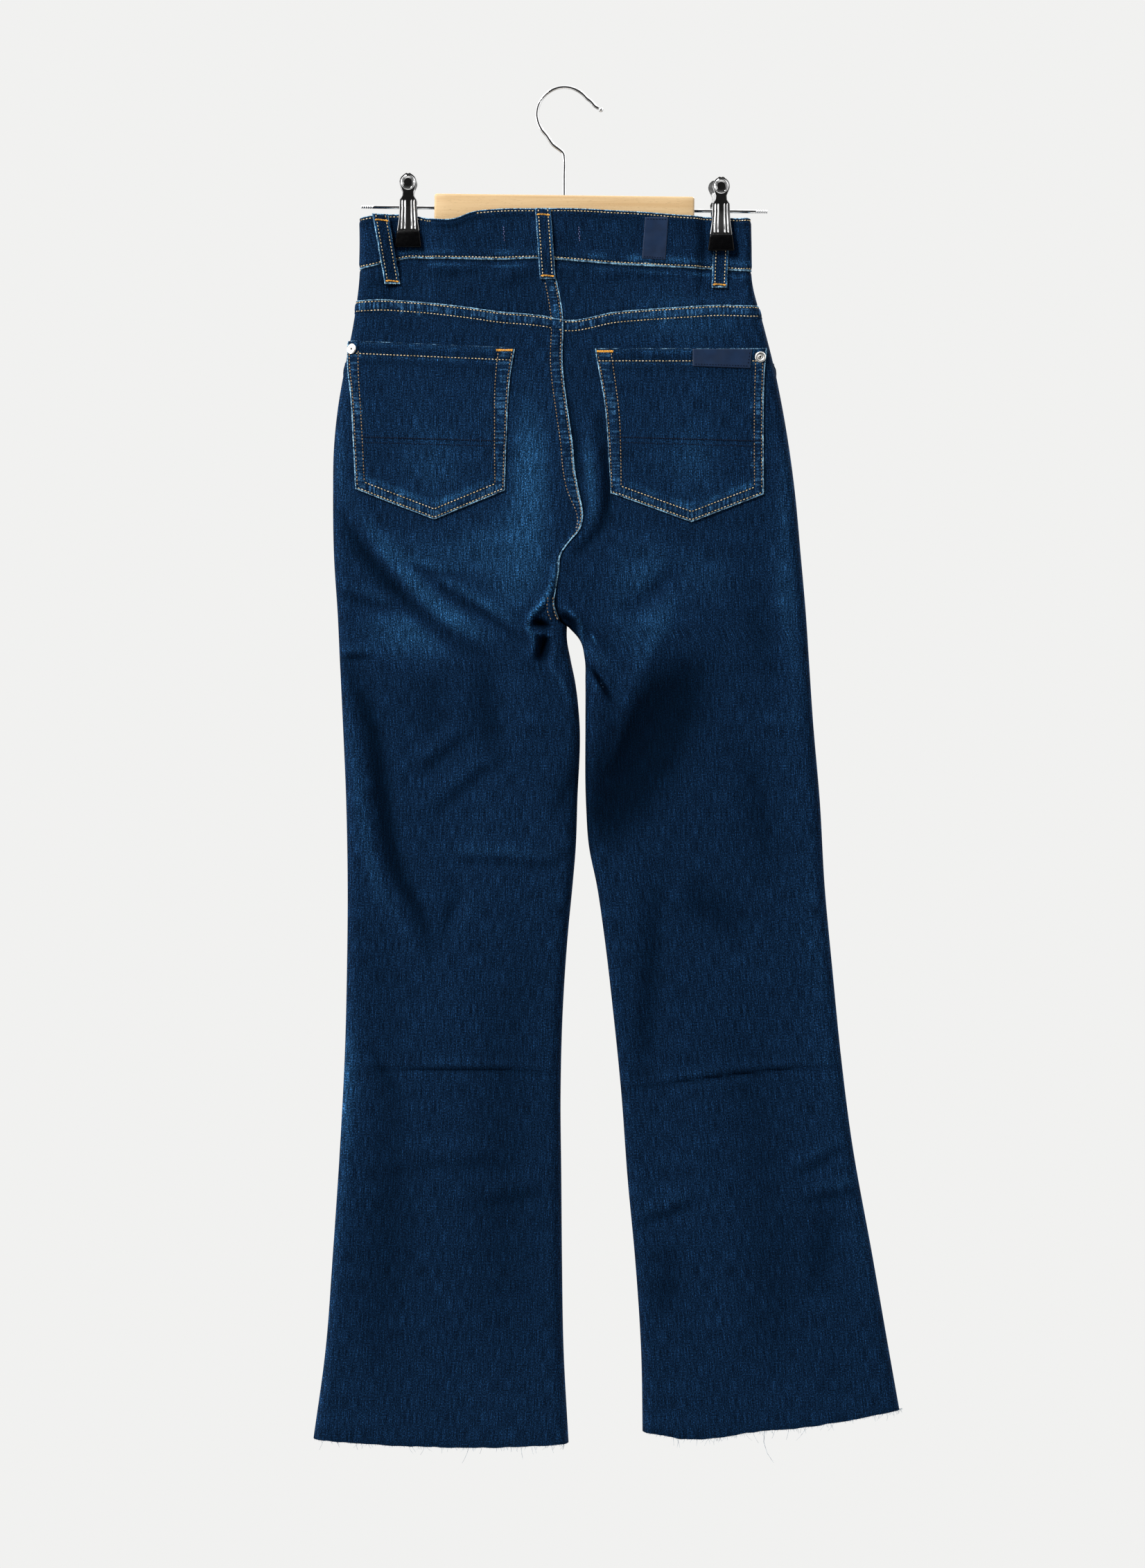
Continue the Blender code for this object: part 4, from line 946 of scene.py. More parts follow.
class Nodes:
    """Adds and links the shader nodes of one tree."""

    def __init__(self, tree):
        self.tree = tree

    def node(self, kind, inputs=(), output=0, **settings):
        made = self.tree.nodes.new("ShaderNode" + kind)
        for key, value in settings.items():
            setattr(made, key, value)
        for key, value in dict(inputs).items():
            if isinstance(value, bpy.types.NodeSocket):
                self.tree.links.new(value, made.inputs[key])
            else:
                made.inputs[key].default_value = value
        return made.outputs[output] if made.outputs else None

    def math(self, operation, a, b=0.0):
        return self.node("Math", {0: a, 1: b}, operation=operation)

    def plus(self, a, b):
        return self.math("ADD", a, b)

    def times(self, a, b):
        return self.math("MULTIPLY", a, b)

    def scaled(self, value, factor, offset=0.0):
        return self.node("Math", {0: value, 1: factor, 2: offset}, operation="MULTIPLY_ADD")

    def vector(self, operation, a, b=None, output=0, **inputs):
        given = {0: a, **inputs} if b is None else {0: a, 1: b}
        return self.node("VectorMath", given, output, operation=operation)

    def span(self, value, low, high, out_low=0.0, out_high=1.0):
        return self.node("MapRange", {
            "Value": value, "From Min": low, "From Max": high, "To Min": out_low,
            "To Max": out_high}, interpolation_type="SMOOTHSTEP")

    def mix(self, factor, *colours):
        """A blend of two colours, each a socket or three numbers."""
        a, b = (colour if isinstance(colour, bpy.types.NodeSocket) else (*colour, 1.0)
                for colour in colours)
        return self.node("Mix", {0: factor, 6: a, 7: b}, 2, data_type="RGBA")

    def mark(self, name):
        return self.node("Attribute", output="Fac", attribute_name=name)

    def place(self, kind="Object"):
        return self.node("TexCoord", output=kind)

    def noise(self, where, sizes, detail=2.0, roughness=0.55):
        """Noise whose bumps have about these sizes in millimetres along each axis."""
        scaled = self.vector("MULTIPLY", where, tuple(1000.0 / size for size in sizes))
        return self.node("TexNoise", {"Vector": scaled, "Scale": 1.0, "Detail": detail,
                                      "Roughness": roughness}, "Fac")


class Finish(Nodes):
    """The nodes of one material and the sockets of its shader."""

    def __init__(self, name, **values):
        self.material = bpy.data.materials.new(name)
        self.material.use_nodes = True
        super().__init__(self.material.node_tree)
        self.shader = self.tree.nodes["Principled BSDF"]
        for socket, value in values.items():
            self.shader.inputs[socket.replace("_", " ")].default_value = value

    def weave(self):
        return self.node("UVMap", uv_map="weave")

    def to(self, socket, value):
        self.tree.links.new(value, self.shader.inputs[socket])

    def colour(self, value):
        self.to("Base Color", value)

    def bumps(self, *layers):
        """Bumps of (height, distance in millimetres, strength), one over the other."""
        normal = {}
        for height, distance, strength in layers:
            made = self.node("Bump", {"Height": height, "Distance": distance * MM,
                                      "Strength": strength, **normal})
            normal = {"Normal": made}
        self.to("Normal", made)


def darker(colour, share):
    return [part * share for part in colour]


def denim_finish():
    """Indigo twill: slub streaks along the warp, pale flecks, worn edges and puckers, with painted
    shade in the stitch grooves and fold hollows and painted highlights on ridges.
    """
    denim = bpy.context.scene.jeans_denim
    finish = Finish("denim", Roughness=0.9, Specular_IOR_Level=0.03)
    noise, span, plus, times = finish.noise, finish.span, finish.plus, finish.times
    grain = finish.weave()
    thread_width = denim.streak / MM * 0.8
    dots = noise(grain, (thread_width, 1.25, 1), 1.0, 0.6)
    threads = noise(grain, (thread_width, 14, 1), 0.6, 0.6)
    streaks = noise(grain, (4.2, 60, 1), 2)
    cloudy = noise(grain, (26, 30, 1), 3, 0.6)
    fade, rim, sunk = finish.mark("fade"), finish.mark("rim"), finish.mark("groove")
    # The tone lightens with wear fading and painted highlights, and darkens with painted shade in
    # hollows.
    tone = finish.scaled(fade, 0.62, 0.10)
    for layer, weight in ((streaks, 0.20), (cloudy, 0.12)):
        tone = plus(tone, finish.scaled(layer, weight, -0.5 * weight))
    base = finish.mix(span(tone, -0.45, 0.35), denim.deep, denim.middle)
    base = finish.mix(span(tone, 0.15, 1.05), base, denim.faded)
    # Each thread crossing is lighter or darker than its neighbours, more so where faded.
    weave = plus(finish.scaled(dots, denim.contrast, -0.50 * denim.contrast),
                 finish.scaled(threads, 0.5 * denim.contrast, -0.25 * denim.contrast))
    weave = finish.math("EXPONENT", times(weave, finish.scaled(fade, 0.42, 1.0)))
    # Wear: a rubbed edge, broken along its run, and rubbed puckers between the rows.
    rubbed = noise(finish.place(), (1.6, 1.6, 1.6), 2)
    edge = times(span(rim, 1.2, 0.55), span(rubbed, 0.30, 0.52, 0.4))
    along = finish.node("CombineXYZ", {"X": finish.mark("run"), "Y": rim})
    along = finish.vector("SCALE", along, Scale=MM)
    blobs = noise(along, (4.6, 7.0, 1.0), 2.5, 0.6)
    edge = times(edge, span(blobs, 0.34, 0.62, 0.12, 0.95))
    dashes = noise(along, (1.9, 24.0, 1.0), 0.5, 0.5)
    zone = times(span(rim, 1.5, 3.0), span(rim, 9.0, 7.2))
    pucker = times(zone, span(dashes, 0.46, 0.62, 0.0, 0.36))
    pucker = times(pucker, span(blobs, 0.34, 0.60, 0.15, 1.0))
    colour = finish.mix(edge, finish.mix(pucker, base, denim.rubbed), denim.worn)
    colour = finish.vector("SCALE", colour, Scale=weave)
    colour = finish.vector("MINIMUM", colour, (0.6, 0.8, 0.9))
    # Painted shade: the colour darkens to deep indigo along the stitch grooves.
    finish.colour(finish.mix(finish.scaled(sunk, 0.75), colour, denim.deep))
    twill = finish.vector("MULTIPLY", grain, (1400, 900, 1))
    twill = finish.node("TexWave", {"Vector": twill, "Scale": 0.32, "Distortion": 0.6,
                                    "Detail": 1.0}, "Fac", bands_direction="DIAGONAL")
    body = plus(plus(dots, threads), finish.scaled(twill, 0.3))
    finish.bumps((body, 0.2, 0.6), (blobs, 0.25, 0.3))
    return finish.material


def reverse_finish():
    """The paler inner face of the twill."""
    denim = bpy.context.scene.jeans_denim
    finish = Finish("denim_reverse", Roughness=0.9, Specular_IOR_Level=0.12, Sheen_Weight=0.05)
    grain = finish.weave()
    fine = finish.noise(grain, (0.8, 1.2, 1), 2, 0.6)
    streaks = finish.noise(grain, (1.4, 40, 1), 2)
    tone = finish.plus(finish.scaled(fine, 0.7), finish.scaled(streaks, 0.4))
    finish.colour(finish.mix(finish.span(tone, 0.3, 0.8), denim.faded, denim.reverse))
    finish.bumps((fine, 0.2, 0.6))
    return finish.material


def thread_finish(name, colour, dark=0.35, pale=1.0):
    """Twisted thread, each stitch a little lighter or darker."""
    finish = Finish(name, Roughness=0.75, Specular_IOR_Level=0.12)
    twist = finish.noise(finish.place(), (0.35, 0.35, 0.35), 1.5)
    tone = finish.plus(finish.scaled(finish.mark("tone"), 0.8), finish.scaled(twist, 0.4))
    shade = finish.mix(finish.span(tone, 0.1, 0.6), darker(colour, dark), colour)
    finish.colour(finish.mix(finish.span(tone, 0.7, 1.05), shade,
                             [1 - (1 - part) * pale for part in colour]))
    finish.bumps((twist, 0.12, 0.6))
    return finish.material


def metal_finish(name, colour, roughness, tarnish=0.8):
    """Plated metal with a faint uneven polish."""
    finish = Finish(name, Metallic=1.0)
    cloudy = finish.noise(finish.place(), (5, 5, 5), 3)
    fine = finish.noise(finish.place(), (0.5, 0.5, 2.5), 2)
    finish.colour(finish.mix(finish.span(cloudy, 0.35, 0.7), darker(colour, tarnish), colour))
    finish.to("Roughness", finish.scaled(fine, roughness * 0.35, roughness))
    finish.bumps((fine, 0.02, 0.3))
    return finish.material


def beech_finish():
    """Pale satin beech, grained along the bar, with its small dark rays."""
    trims = bpy.context.scene.jeans_trims
    finish = Finish("beech", Roughness=0.42, Specular_IOR_Level=0.35, Coat_Weight=0.12,
                    Coat_Roughness=0.3)
    where = finish.place()
    waves = finish.noise(where, (150, 14, 5), 3, 0.5)
    lines = finish.noise(where, (60, 2.4, 0.9), 3, 0.6)
    rays = finish.noise(where, (3.4, 1.0, 0.32), 1.5, 0.5)
    tone = finish.plus(finish.scaled(waves, 0.9), finish.scaled(lines, 0.5))
    colour = finish.mix(finish.span(tone, 0.45, 0.95), trims.beech_dark, trims.beech_light)
    finish.colour(finish.mix(finish.span(rays, 0.64, 0.74, 0.0, 0.8), colour,
                             darker(trims.beech_dark, 0.7)))
    finish.bumps((lines, 0.06, 0.4))
    return finish.material


def rubber_finish():
    """Satin black rubber, a little dusty."""
    finish = Finish("black_rubber", Specular_IOR_Level=0.12)
    grit = finish.noise(finish.place(), (0.4, 0.4, 0.4), 2)
    dust = finish.noise(finish.place(), (3, 3, 3), 3)
    finish.colour(finish.mix(finish.span(dust, 0.5, 0.8, 0.0, 0.6),
                             bpy.context.scene.jeans_trims.rubber, (0.003, 0.003, 0.0035)))
    finish.to("Roughness", finish.scaled(dust, 0.2, 0.18))
    finish.bumps((grit, 0.03, 0.3))
    return finish.material


def satin_finish():
    """Smooth navy coated strip, finely grained."""
    navy = bpy.context.scene.jeans_trims.navy
    finish = Finish("navy_satin", Roughness=0.45, Specular_IOR_Level=0.3, Sheen_Weight=0.1)
    pores = finish.noise(finish.place(), (0.7, 0.7, 0.7), 2)
    cloudy = finish.noise(finish.place(), (9, 9, 9), 2)
    finish.colour(finish.mix(finish.span(cloudy, 0.3, 0.75), darker(navy, 0.7), navy))
    finish.bumps((pores, 0.06, 0.4))
    return finish.material


def fringe_finish():
    """Loose cotton threads, from indigo to nearly white."""
    denim = bpy.context.scene.jeans_denim
    finish = Finish("fringe_cotton", Roughness=0.9, Specular_IOR_Level=0.1)
    shade = finish.noise(finish.place(), (2.2, 2.2, 4), 2)
    finish.colour(finish.mix(finish.span(shade, 0.35, 0.62), denim.faded, denim.fringe))
    return finish.material


FINISHES = {}


def finish_of(name):
    """The shared material of a finish, made when it is first asked for."""
    if name not in FINISHES:
        thread, trims = bpy.context.scene.jeans_thread, bpy.context.scene.jeans_trims
        FINISHES[name] = {
            "denim": denim_finish,
            "reverse": reverse_finish,
            "gold": lambda: thread_finish("gold_thread", thread.gold, 0.35, 0.55),
            "rust": lambda: thread_finish("rust_thread", thread.rust, 0.3, 0.85),
            "tack": lambda: thread_finish("tack_thread", thread.tack, 0.6),
            "tonal": lambda: thread_finish("tonal_thread", thread.tonal, 0.5),
            "lilac": lambda: thread_finish("lilac_thread", thread.lilac, 0.5),
            "chrome": lambda: metal_finish("chrome", trims.chrome, 0.07),
            "silver": lambda: metal_finish("silver", trims.silver, 0.30, tarnish=0.7),
            "beech": beech_finish,
            "rubber": rubber_finish,
            "satin": satin_finish,
            "fringe": fringe_finish,
        }[name]()
    return FINISHES[name]


# ---- Leg panels, yokes and waistband ----

EDGE_STEPS = np.array((0.0, 0.25, 0.8, 1.7, 3.0, 4.5, 6.2, 7.6, 9.0))
SEAM_STEPS = np.array((0.0, 0.3, 0.8, 1.2, 1.6, 2.0, 2.4, 2.9, 3.8, 5.0, 6.4, 7.8, 8.9, 9.6, 10.0,
                       10.4, 10.8, 11.3, 12.2, 13.6, *np.arange(15.0, 34.0, 1.3)))
LAP_STEPS = (0.0, 0.4, 0.8, 1.2, 1.55, 1.9, 2.25, 2.7, 3.6, 4.8, 6.2, 7.6, 8.6, 9.05, 9.4, 9.75,
             10.2, 10.9, 12.0, 13.6, 15.4, 17.6)
def column_places(side, layer, level, inner_steps=SEAM_STEPS, flat=56):
    """Distances of a grid's columns from the silhouette, as wide as the panel is at level."""
    level = np.reshape(level, (-1, 1))
    width = abs(inner_x(side, layer, level) - outer_x(side, level))
    share = np.linspace(0, 1, flat + 1)[1:-1]
    room = width - inner_steps[-1] - EDGE_STEPS[-1]
    return np.concatenate([EDGE_STEPS + 0 * width, EDGE_STEPS[-1] + share * room,
                           width - inner_steps[::-1]], -1)


def settled(side, layer, level, places, height_at):
    """x and z of a grid whose columns follow the silhouette and the seam as its rows bend."""
    sign = side_sign(side)
    near_out = 1 - ramp(places / places[:, -1:], 0.2, 0.8)
    x = outer_x(side, level) - sign * places
    for _ in range(3):
        z = height_at(x)
        from_out = outer_x(side, z) - sign * places
        from_in = inner_x(side, layer, z) + sign * (places[:, -1:] - places)
        x = near_out * from_out + (1 - near_out) * from_in
    return x, z


def leg_z(side, layer, x, level):
    """Height of a leg row at x: it follows the top seam above and the hem below."""
    if layer == "back":
        seam, mean = BACK_AT["yoke"](x), YOKE_LEVEL
    else:
        seam, mean = FRONT_AT["waist"](x), FRONT_LEVEL
    return (
        level + ramp(level, LEVEL_FROM, mean) * (seam - mean)
        + ramp(level, HEM_FROM, HEM_LEVEL) * (hem_at(side, x) - HEM_LEVEL)
    )


def leg_levels(layer):
    mean = YOKE_LEVEL if layer == "back" else FRONT_LEVEL
    steps = LAP_STEPS if layer == "back" else (0.0, 0.4, 0.9, 1.6)
    top = [mean - GAP / 2 - step for step in steps]
    parts = [top, np.arange(top[-1] - 2.6, -441, -3.0), np.arange(-442, CROTCH, -1.6),
             [CROTCH + 0.01, CROTCH - 0.8, CROTCH - 1.8], np.arange(CROTCH - 3.2, -505, -1.6),
             np.arange(-506, HEM_LEVEL + 3, -3.3), [HEM_LEVEL + 1.8, HEM_LEVEL + 0.8, HEM_LEVEL]]
    return np.concatenate(parts)


def leg_panel(side, layer):
    levels = leg_levels(layer)[:, None]
    x, z = settled(side, layer, levels, column_places(side, layer, levels),
                   lambda x: leg_z(side, layer, x, levels))
    middle = np.stack([x, garment_y(layer, x, z), z], -1)
    normals = facing(middle, layer)
    relief, rim, run, sunk = seam_marks(layer, side, x, z)
    if layer == "front" and side == "left":
        lapped = ramp(z, FLY_BOTTOM - 3, FLY_BOTTOM)
        near = 1 - ramp(from_centre(side, layer, x, z), 0, 9)
        middle[..., 1] += FLY_LIFT * lapped * near
        middle[..., 0] += FLY_LAP * lapped * near ** 2
    keep = None
    if layer == "front":
        inside = scoop_distance(side, x, z) < 0
        keep = ~(inside[:-1, :-1] & inside[1:, :-1] & inside[:-1, 1:] & inside[1:, 1:])
        share = scoop_share(side, x, z)
        corner_x, corner_z = scoop_corner(side)
        on_x, on_z = corner_x + (x - corner_x) / share, corner_z + (z - corner_z) / share
        on_edge = np.stack([on_x, garment_y(layer, on_x, on_z), on_z], -1)
        middle = np.where((inside & (share > 0.5))[..., None], on_edge, middle)
    grain = x - 0.5 * (INSEAM_AT[side](z) + OUTLINE_AT[side](z))
    fade = faded(layer, x, z)
    # Painted shadow along the right half's edge beside the centre seam, where the lapped seam
    # stands over it.
    if side == "right":
        fade -= 0.9 * np.exp(-(from_centre(side, layer, x, z) / 1.6) ** 2) * (z > CROTCH)
    piece = cloth_shell(
        side + "_" + layer + "_panel", middle, PANEL_WALL, relief, normals, rounded=("top",),
        replaces=(layer + "_" + side,), keep=keep, rim=rim, run=run, fade=fade, groove=sunk,
        weave=(grain, z),
    )


def seam_allowance(layer):
    """The felled allowance that closes the centre seam from inside."""
    z = np.concatenate([np.arange(-160.0, -440.0, -4.0), np.arange(-440.0, -461.6, -1.5)])[:, None]
    half = 5.4 - 4.95 * ramp(-z, 436.0, 447.0)
    x = CENTRE_AT[layer](z) + half * np.linspace(-1, 1, 7)
    z = np.broadcast_to(z, x.shape)
    cloth = abs(garment_y(layer, x, z))
    depth = np.minimum(cloth, cloth.min(1)[:, None] + 0.4)
    y = outward(layer) * np.maximum(0.5, depth - (PANEL_WALL + 0.6) / 2 - GAP)
    middle = np.stack([x, y, z], -1)
    normals = np.zeros(middle.shape)
    normals[..., 1] = outward(layer)
    piece = cloth_shell(layer + "_seam_allowance", middle, 0.6, 0.0, normals, rounded=(),
                        finishes=("denim",), fade=np.full(x.shape, -0.3))


def yoke(side):
    level = -170.0
    share = np.linspace(0, 1, 19)[:, None]

    def height_at(x):
        top, low = BACK_AT["waist"](x) - GAP / 2, BACK_AT["yoke"](x) + GAP / 2
        return top + share * (low - top)
    x, z = settled(side, "back", level, column_places(side, "back", level), height_at)
    middle = np.stack([x, garment_y("back", x, z), z], -1)
    relief, rim, run, sunk = seam_marks("yoke", side, x, z)
    below = BACK_AT["waist"](x) - z
    piece = cloth_shell(
        side + "_yoke", middle, PANEL_WALL, relief, facing(middle, "back"),
        replaces=("yoke_" + side,), rim=rim, run=run, groove=sunk,
        # Painted highlight in a band just below the waist seam and painted shadow right under the
        # waistband's edge.
        fade=faded("back", x, z) - 0.1
        + (0.40 + 0.5 * ripple(x, z, 14, 30, 7)) * np.exp(-((below - 4.6) / 1.7) ** 2)
        - 0.6 * np.exp(-(below / 1.8) ** 2),
    )


BAND_STEPS = np.array((0.0, 0.25, 0.6, 1.1, 1.6, 2.1, 2.6, 3.2, 4.4, 6.2, 8.6))[:, None]
BAND_END_STEPS = np.array((0.0, 0.4, 1.2, 3.0))


def band_half(side, layer):
    """x, y and z of one layer of a waistband half, and its distances from top and seam."""
    lines = LINES_AT[layer]
    places = column_places(side, layer, BAND_LEVEL, BAND_END_STEPS, 52)

    def height(x):
        return lines["top"](x) - lines["waist"](x) - GAP / 2
    near_top = BAND_STEPS / height(outer_x(side, BAND_LEVEL) - side_sign(side) * places)
    last = BAND_STEPS[-1, 0]
    middle = np.linspace(last, 44 - last, 10)[1:-1, None] / 44 + 0 * places
    share = np.concatenate([near_top, middle, 1 - near_top[::-1]])
    x, z = settled(side, layer, BAND_LEVEL, places, lambda x: lines["top"](x) - share * height(x))
    y = garment_y(layer, x, z, BAND_EDGE_RADIUS, closing=False)
    y[:, 0] = 0.0
    return x, y, z, share * height(x), (1 - share) * height(x)


def band_marks(x, z, below_top, above_seam):
    """Relief and wear of the doubled band: rolled edges and one row along each."""
    puff = 0.35 * ramp(np.minimum(below_top, above_seam), 2.4, 5.0)
    roping = 0.30 * ripple(x, z, 5.5, 9, 21) * (1 - ramp(above_seam, 0.5, 7.0))
    rows = groove(above_seam, (2.2,)) + groove(below_top, (2.2,))
    waves = 0.30 * ripple(x, z, 17, 40, 15)
    relief = puff + roping + waves - GROOVE_DEPTH * rows
    uneven = 1 + 0.3 * ripple(x, z, 5, 30, 23) + 0.35 * ripple(x, z, 34, 30, 24)
    rim = np.minimum(above_seam * 0.64 * uneven, below_top * 0.9 * uneven + 0.35)
    rim = np.where(rim > 2.4, NO_RIM, rim)
    return relief, rim, rows


def waistband(side):
    parts = {layer: band_half(side, layer) for layer in LAYERS}
    along = abs(parts["front"][0] - parts["front"][0][:, -1:])
    lap_over = (BAND_LAP * (1 - ramp(along, 0, 40)), BAND_LIFT * (1 - ramp(along, 0, 26)), 0, 0, 0)
    x, y, z, below_top, above_seam = (
        np.concatenate([back[:, :0:-1], front + (side == "left") * shift], 1)
        for back, front, shift in zip(parts["back"], parts["front"], lap_over))
    middle = np.stack([x, y, z], -1)
    normals = facing(middle, "front")
    normals *= np.sign(normals[..., 0].sum() * side_sign(side))
    relief, rim, sunk = band_marks(x, z, below_top, above_seam)
    around = border_distance(middle, ("left",))
    piece = cloth_shell(
        side + "_waistband", middle, BAND_WALL, relief, normals,
        rounded=("top", "bottom", "right") if side == "left" else ("top", "bottom"),
        finishes=("denim",), replaces=("waistband_" + side,), rim=rim, run=around, groove=sunk,
        # Painted highlight on the puffed lower part of the band above the waist seam, and a darker
        # strip below the top edge.
        weave=(around, z), fade=0.10 * ripple(x, z, 30, 30, 4)
        + (0.35 + 0.45 * ripple(x, z, 16, 30, 6)) * np.exp(-((above_seam - 6.5) / 2.8) ** 2)
        - (0.30 + 0.20 * ripple(x, z, 20, 30, 3)) * np.exp(-((below_top - 6.0) / 2.4) ** 2),
    )


# ---- Back pockets ----

def pocket_lines(side):
    pocket = POCKETS[side]
    return (curve_through(pocket.near), curve_through(pocket.far), straight_through(pocket.top),
            straight_through(pocket.bottom))


def near_row(z):
    """Distance of the wider inner row from the pocket's edge nearest the centre seam."""
    return np.interp(z, (-345.0, -225.0), POCKET_NEAR_ROW[::-1])


def pocket_grid(side):
    """x and z of a pocket's grid, closest together at its edges and stitch rows."""
    near, far, top, bottom = pocket_lines(side)
    sign = side_sign(side)
    far_steps = np.array((0, 0.3, 0.7, 1.1, 1.5, 1.9, 2.3, 2.8, 3.8, 5.2, 6.6, 7.4, 8.0, 8.6,
                          9.6, 11.4, 14.0))
    near_steps = np.array((0, 0.3, 0.7, 1.1, 1.5, 1.9, 2.3, 2.8, 4.0, 5.6, 7.4, 9.4, 11.4, 12.6,
                           13.1, 13.6, 14.2, 15.2, 17.0, 19.5))
    top_steps = np.array((0, 0.3, 0.8, 1.6, 2.8, 4.4, 6.2, 8.0, 9.2, 9.8, 10.2, 10.7, 11.4, 13,
                          15.5, 18.5))[:, None]
    low_steps = np.array((0, 0.35, 0.8, 1.2, 1.6, 2.0, 2.4, 2.9, 4.0, 5.6, 7.2, 8.0, 8.6, 9.2,
                          10.2, 12.0, 14.5))[:, None]
    # One column runs down to the tip.
    flat = np.linspace(0, 1, 36)[1:-1]
    start, end = far(-350.0) - sign * 14, near(-350.0) + sign * 12
    tip = (POCKETS[side].bottom[1][0] - start) / (end - start)
    flat[np.argmin(abs(flat - tip))] = tip

    def narrowed(step, z):
        share = (near_row(z) - 2.8) / (POCKET_NEAR_ROW[0] - 2.8)
        return np.where(step > 2.8, 2.8 + (step - 2.8) * share, step)
    columns = len(far_steps) + len(flat) + len(near_steps)
    z = np.linspace(-225, -345, 44)[:, None] + np.zeros(columns)
    for _ in range(4):
        z_far, z_middle, z_near = np.split(z, (len(far_steps), -len(near_steps)), 1)
        start = far(z_middle) - sign * far_steps[-1]
        end = near(z_middle) + sign * narrowed(near_steps[-1], z_middle)
        x = np.concatenate([
            far(z_far) - sign * far_steps, start + flat * (end - start),
            (near(z_near) + sign * narrowed(near_steps, z_near))[:, ::-1]], 1)
        high = top(x[:len(top_steps)]) - top_steps
        low = (bottom(x[-len(low_steps):]) + low_steps)[::-1]
        share = np.linspace(0, 1, 34)[1:-1, None]
        z = np.concatenate([high, high[-1:] + share * (low[:1] - high[-1:]), low])
    return x, z


def pocket_distances(side, x, z):
    """Distances from the pocket's far, near, top and low edges."""
    near, far, top, bottom = pocket_lines(side)
    sign = side_sign(side)
    return (far(z) - x) * sign, (x - near(z)) * sign, top(x) - z, (z - bottom(x)) * POCKET_SLOPE


def pocket_marks(side, x, z):
    from_far, from_near, below_top, above_low = pocket_distances(side, x, z)
    # Where the inner row narrows, distances are stretched so that it reads as one width.
    near_like = np.where(from_near > 2.4, 2.4 + (from_near - 2.4) * (POCKET_FAR_ROW - 2.4)
                         / (near_row(z) - 2.4), from_near)
    sides = np.minimum(np.minimum(from_far, near_like), above_low)
    rows = groove(sides, (POCKET_OUTER_ROW, POCKET_FAR_ROW)) + groove(below_top, (POCKET_TOP_ROW,))
    rows = np.clip(rows, 0, 1)
    doubled = 1 - ramp(np.minimum(sides, below_top - 2.5) - POCKET_FAR_ROW, 0.5, 2.5)
    puckers = 0.35 * ripple(x, z, 4.0, 4.0, 31) * ramp(sides, 2, 4) * (1 - ramp(sides, 6, 8))
    relief = 0.30 * doubled + puckers - GROOVE_DEPTH * rows
    sides = np.where((near_like <= sides) & (near_like > POCKET_FAR_ROW + 0.6), NO_RIM, sides)
    top_wear = np.where(below_top < 1.6, 0.85 + below_top, NO_RIM)
    low = (above_low < from_far) & (above_low < near_like)
    rim = np.minimum(sides, top_wear) * (1 + 0.45 * ripple(x, z, 5, 5, 23))
    return relief, rim, np.where(low | (top_wear < sides), x, z), rows


def back_pocket(side):
    x, z = pocket_grid(side)
    points, normals = on_cloth("back", x, z, POCKET_REST)
    relief, rim, run, sunk = pocket_marks(side, x, z)
    _, _, below_top, above_low = pocket_distances(side, x, z)
    patchy = 0.55 + 0.45 * ripple(x, z, 7, 7, 8)
    from_tip = x - POCKETS[side].bottom[1][0]
    fade = (
        0.10 + 0.30 * np.exp(-((from_tip / 30) ** 2 + ((z + 318) / 36) ** 2))
        + 0.80 * patchy * np.exp(-((above_low - 12.0) / 2.6) ** 2)
        + 0.80 * patchy * np.exp(-((below_top - 13.4) / 1.3) ** 2)
        + 0.50 * patchy * np.exp(-((below_top - 3.2) / 1.9) ** 2)
        - 0.28 * np.exp(-((below_top - 7.6) / 2.2) ** 2)
        - 0.25 * np.exp(-((below_top - 17.5) / 3.0) ** 2)
        - 0.35 * np.exp(-(from_tip / 1.5) ** 2) * (above_low < 13)
        + 0.05 * ripple(x, z, 30, 40, 6)
    )
    piece = cloth_shell(
        side + "_back_pocket", points, POCKET_WALL, relief, normals, rounded=EDGES,
        replaces=("back_pocket_" + side,), rim=rim, run=run, fade=fade, groove=sunk,
    )


def pocket_row(side, from_far, from_near, from_low):
    """Stitch rows down, across and up three sides of a pocket, as lines of (x, z) points."""
    near, far, top, bottom = pocket_lines(side)
    sign = side_sign(side)
    rise = from_low / POCKET_SLOPE
    z = np.linspace(-226, -344, 60)

    def between(x, z):
        """The part of a side row between the top edge and the bottom row."""
        return np.stack([x, z], -1)[(z > bottom(x) + rise) & (z < top(x) - 3.0)]
    down = between(far(z) - sign * from_far, z)
    up = between(near(z[::-1]) + sign * from_near(z[::-1]), z[::-1])
    ends = np.array([down[-1, 0], POCKETS[side].bottom[1][0], up[0, 0]])
    low = np.stack([ends, bottom(ends) + rise], -1)
    return [dense(line) for line in (down, low[:2], low[1:], up)]


# ---- Front pockets, loops, patch and tab ----

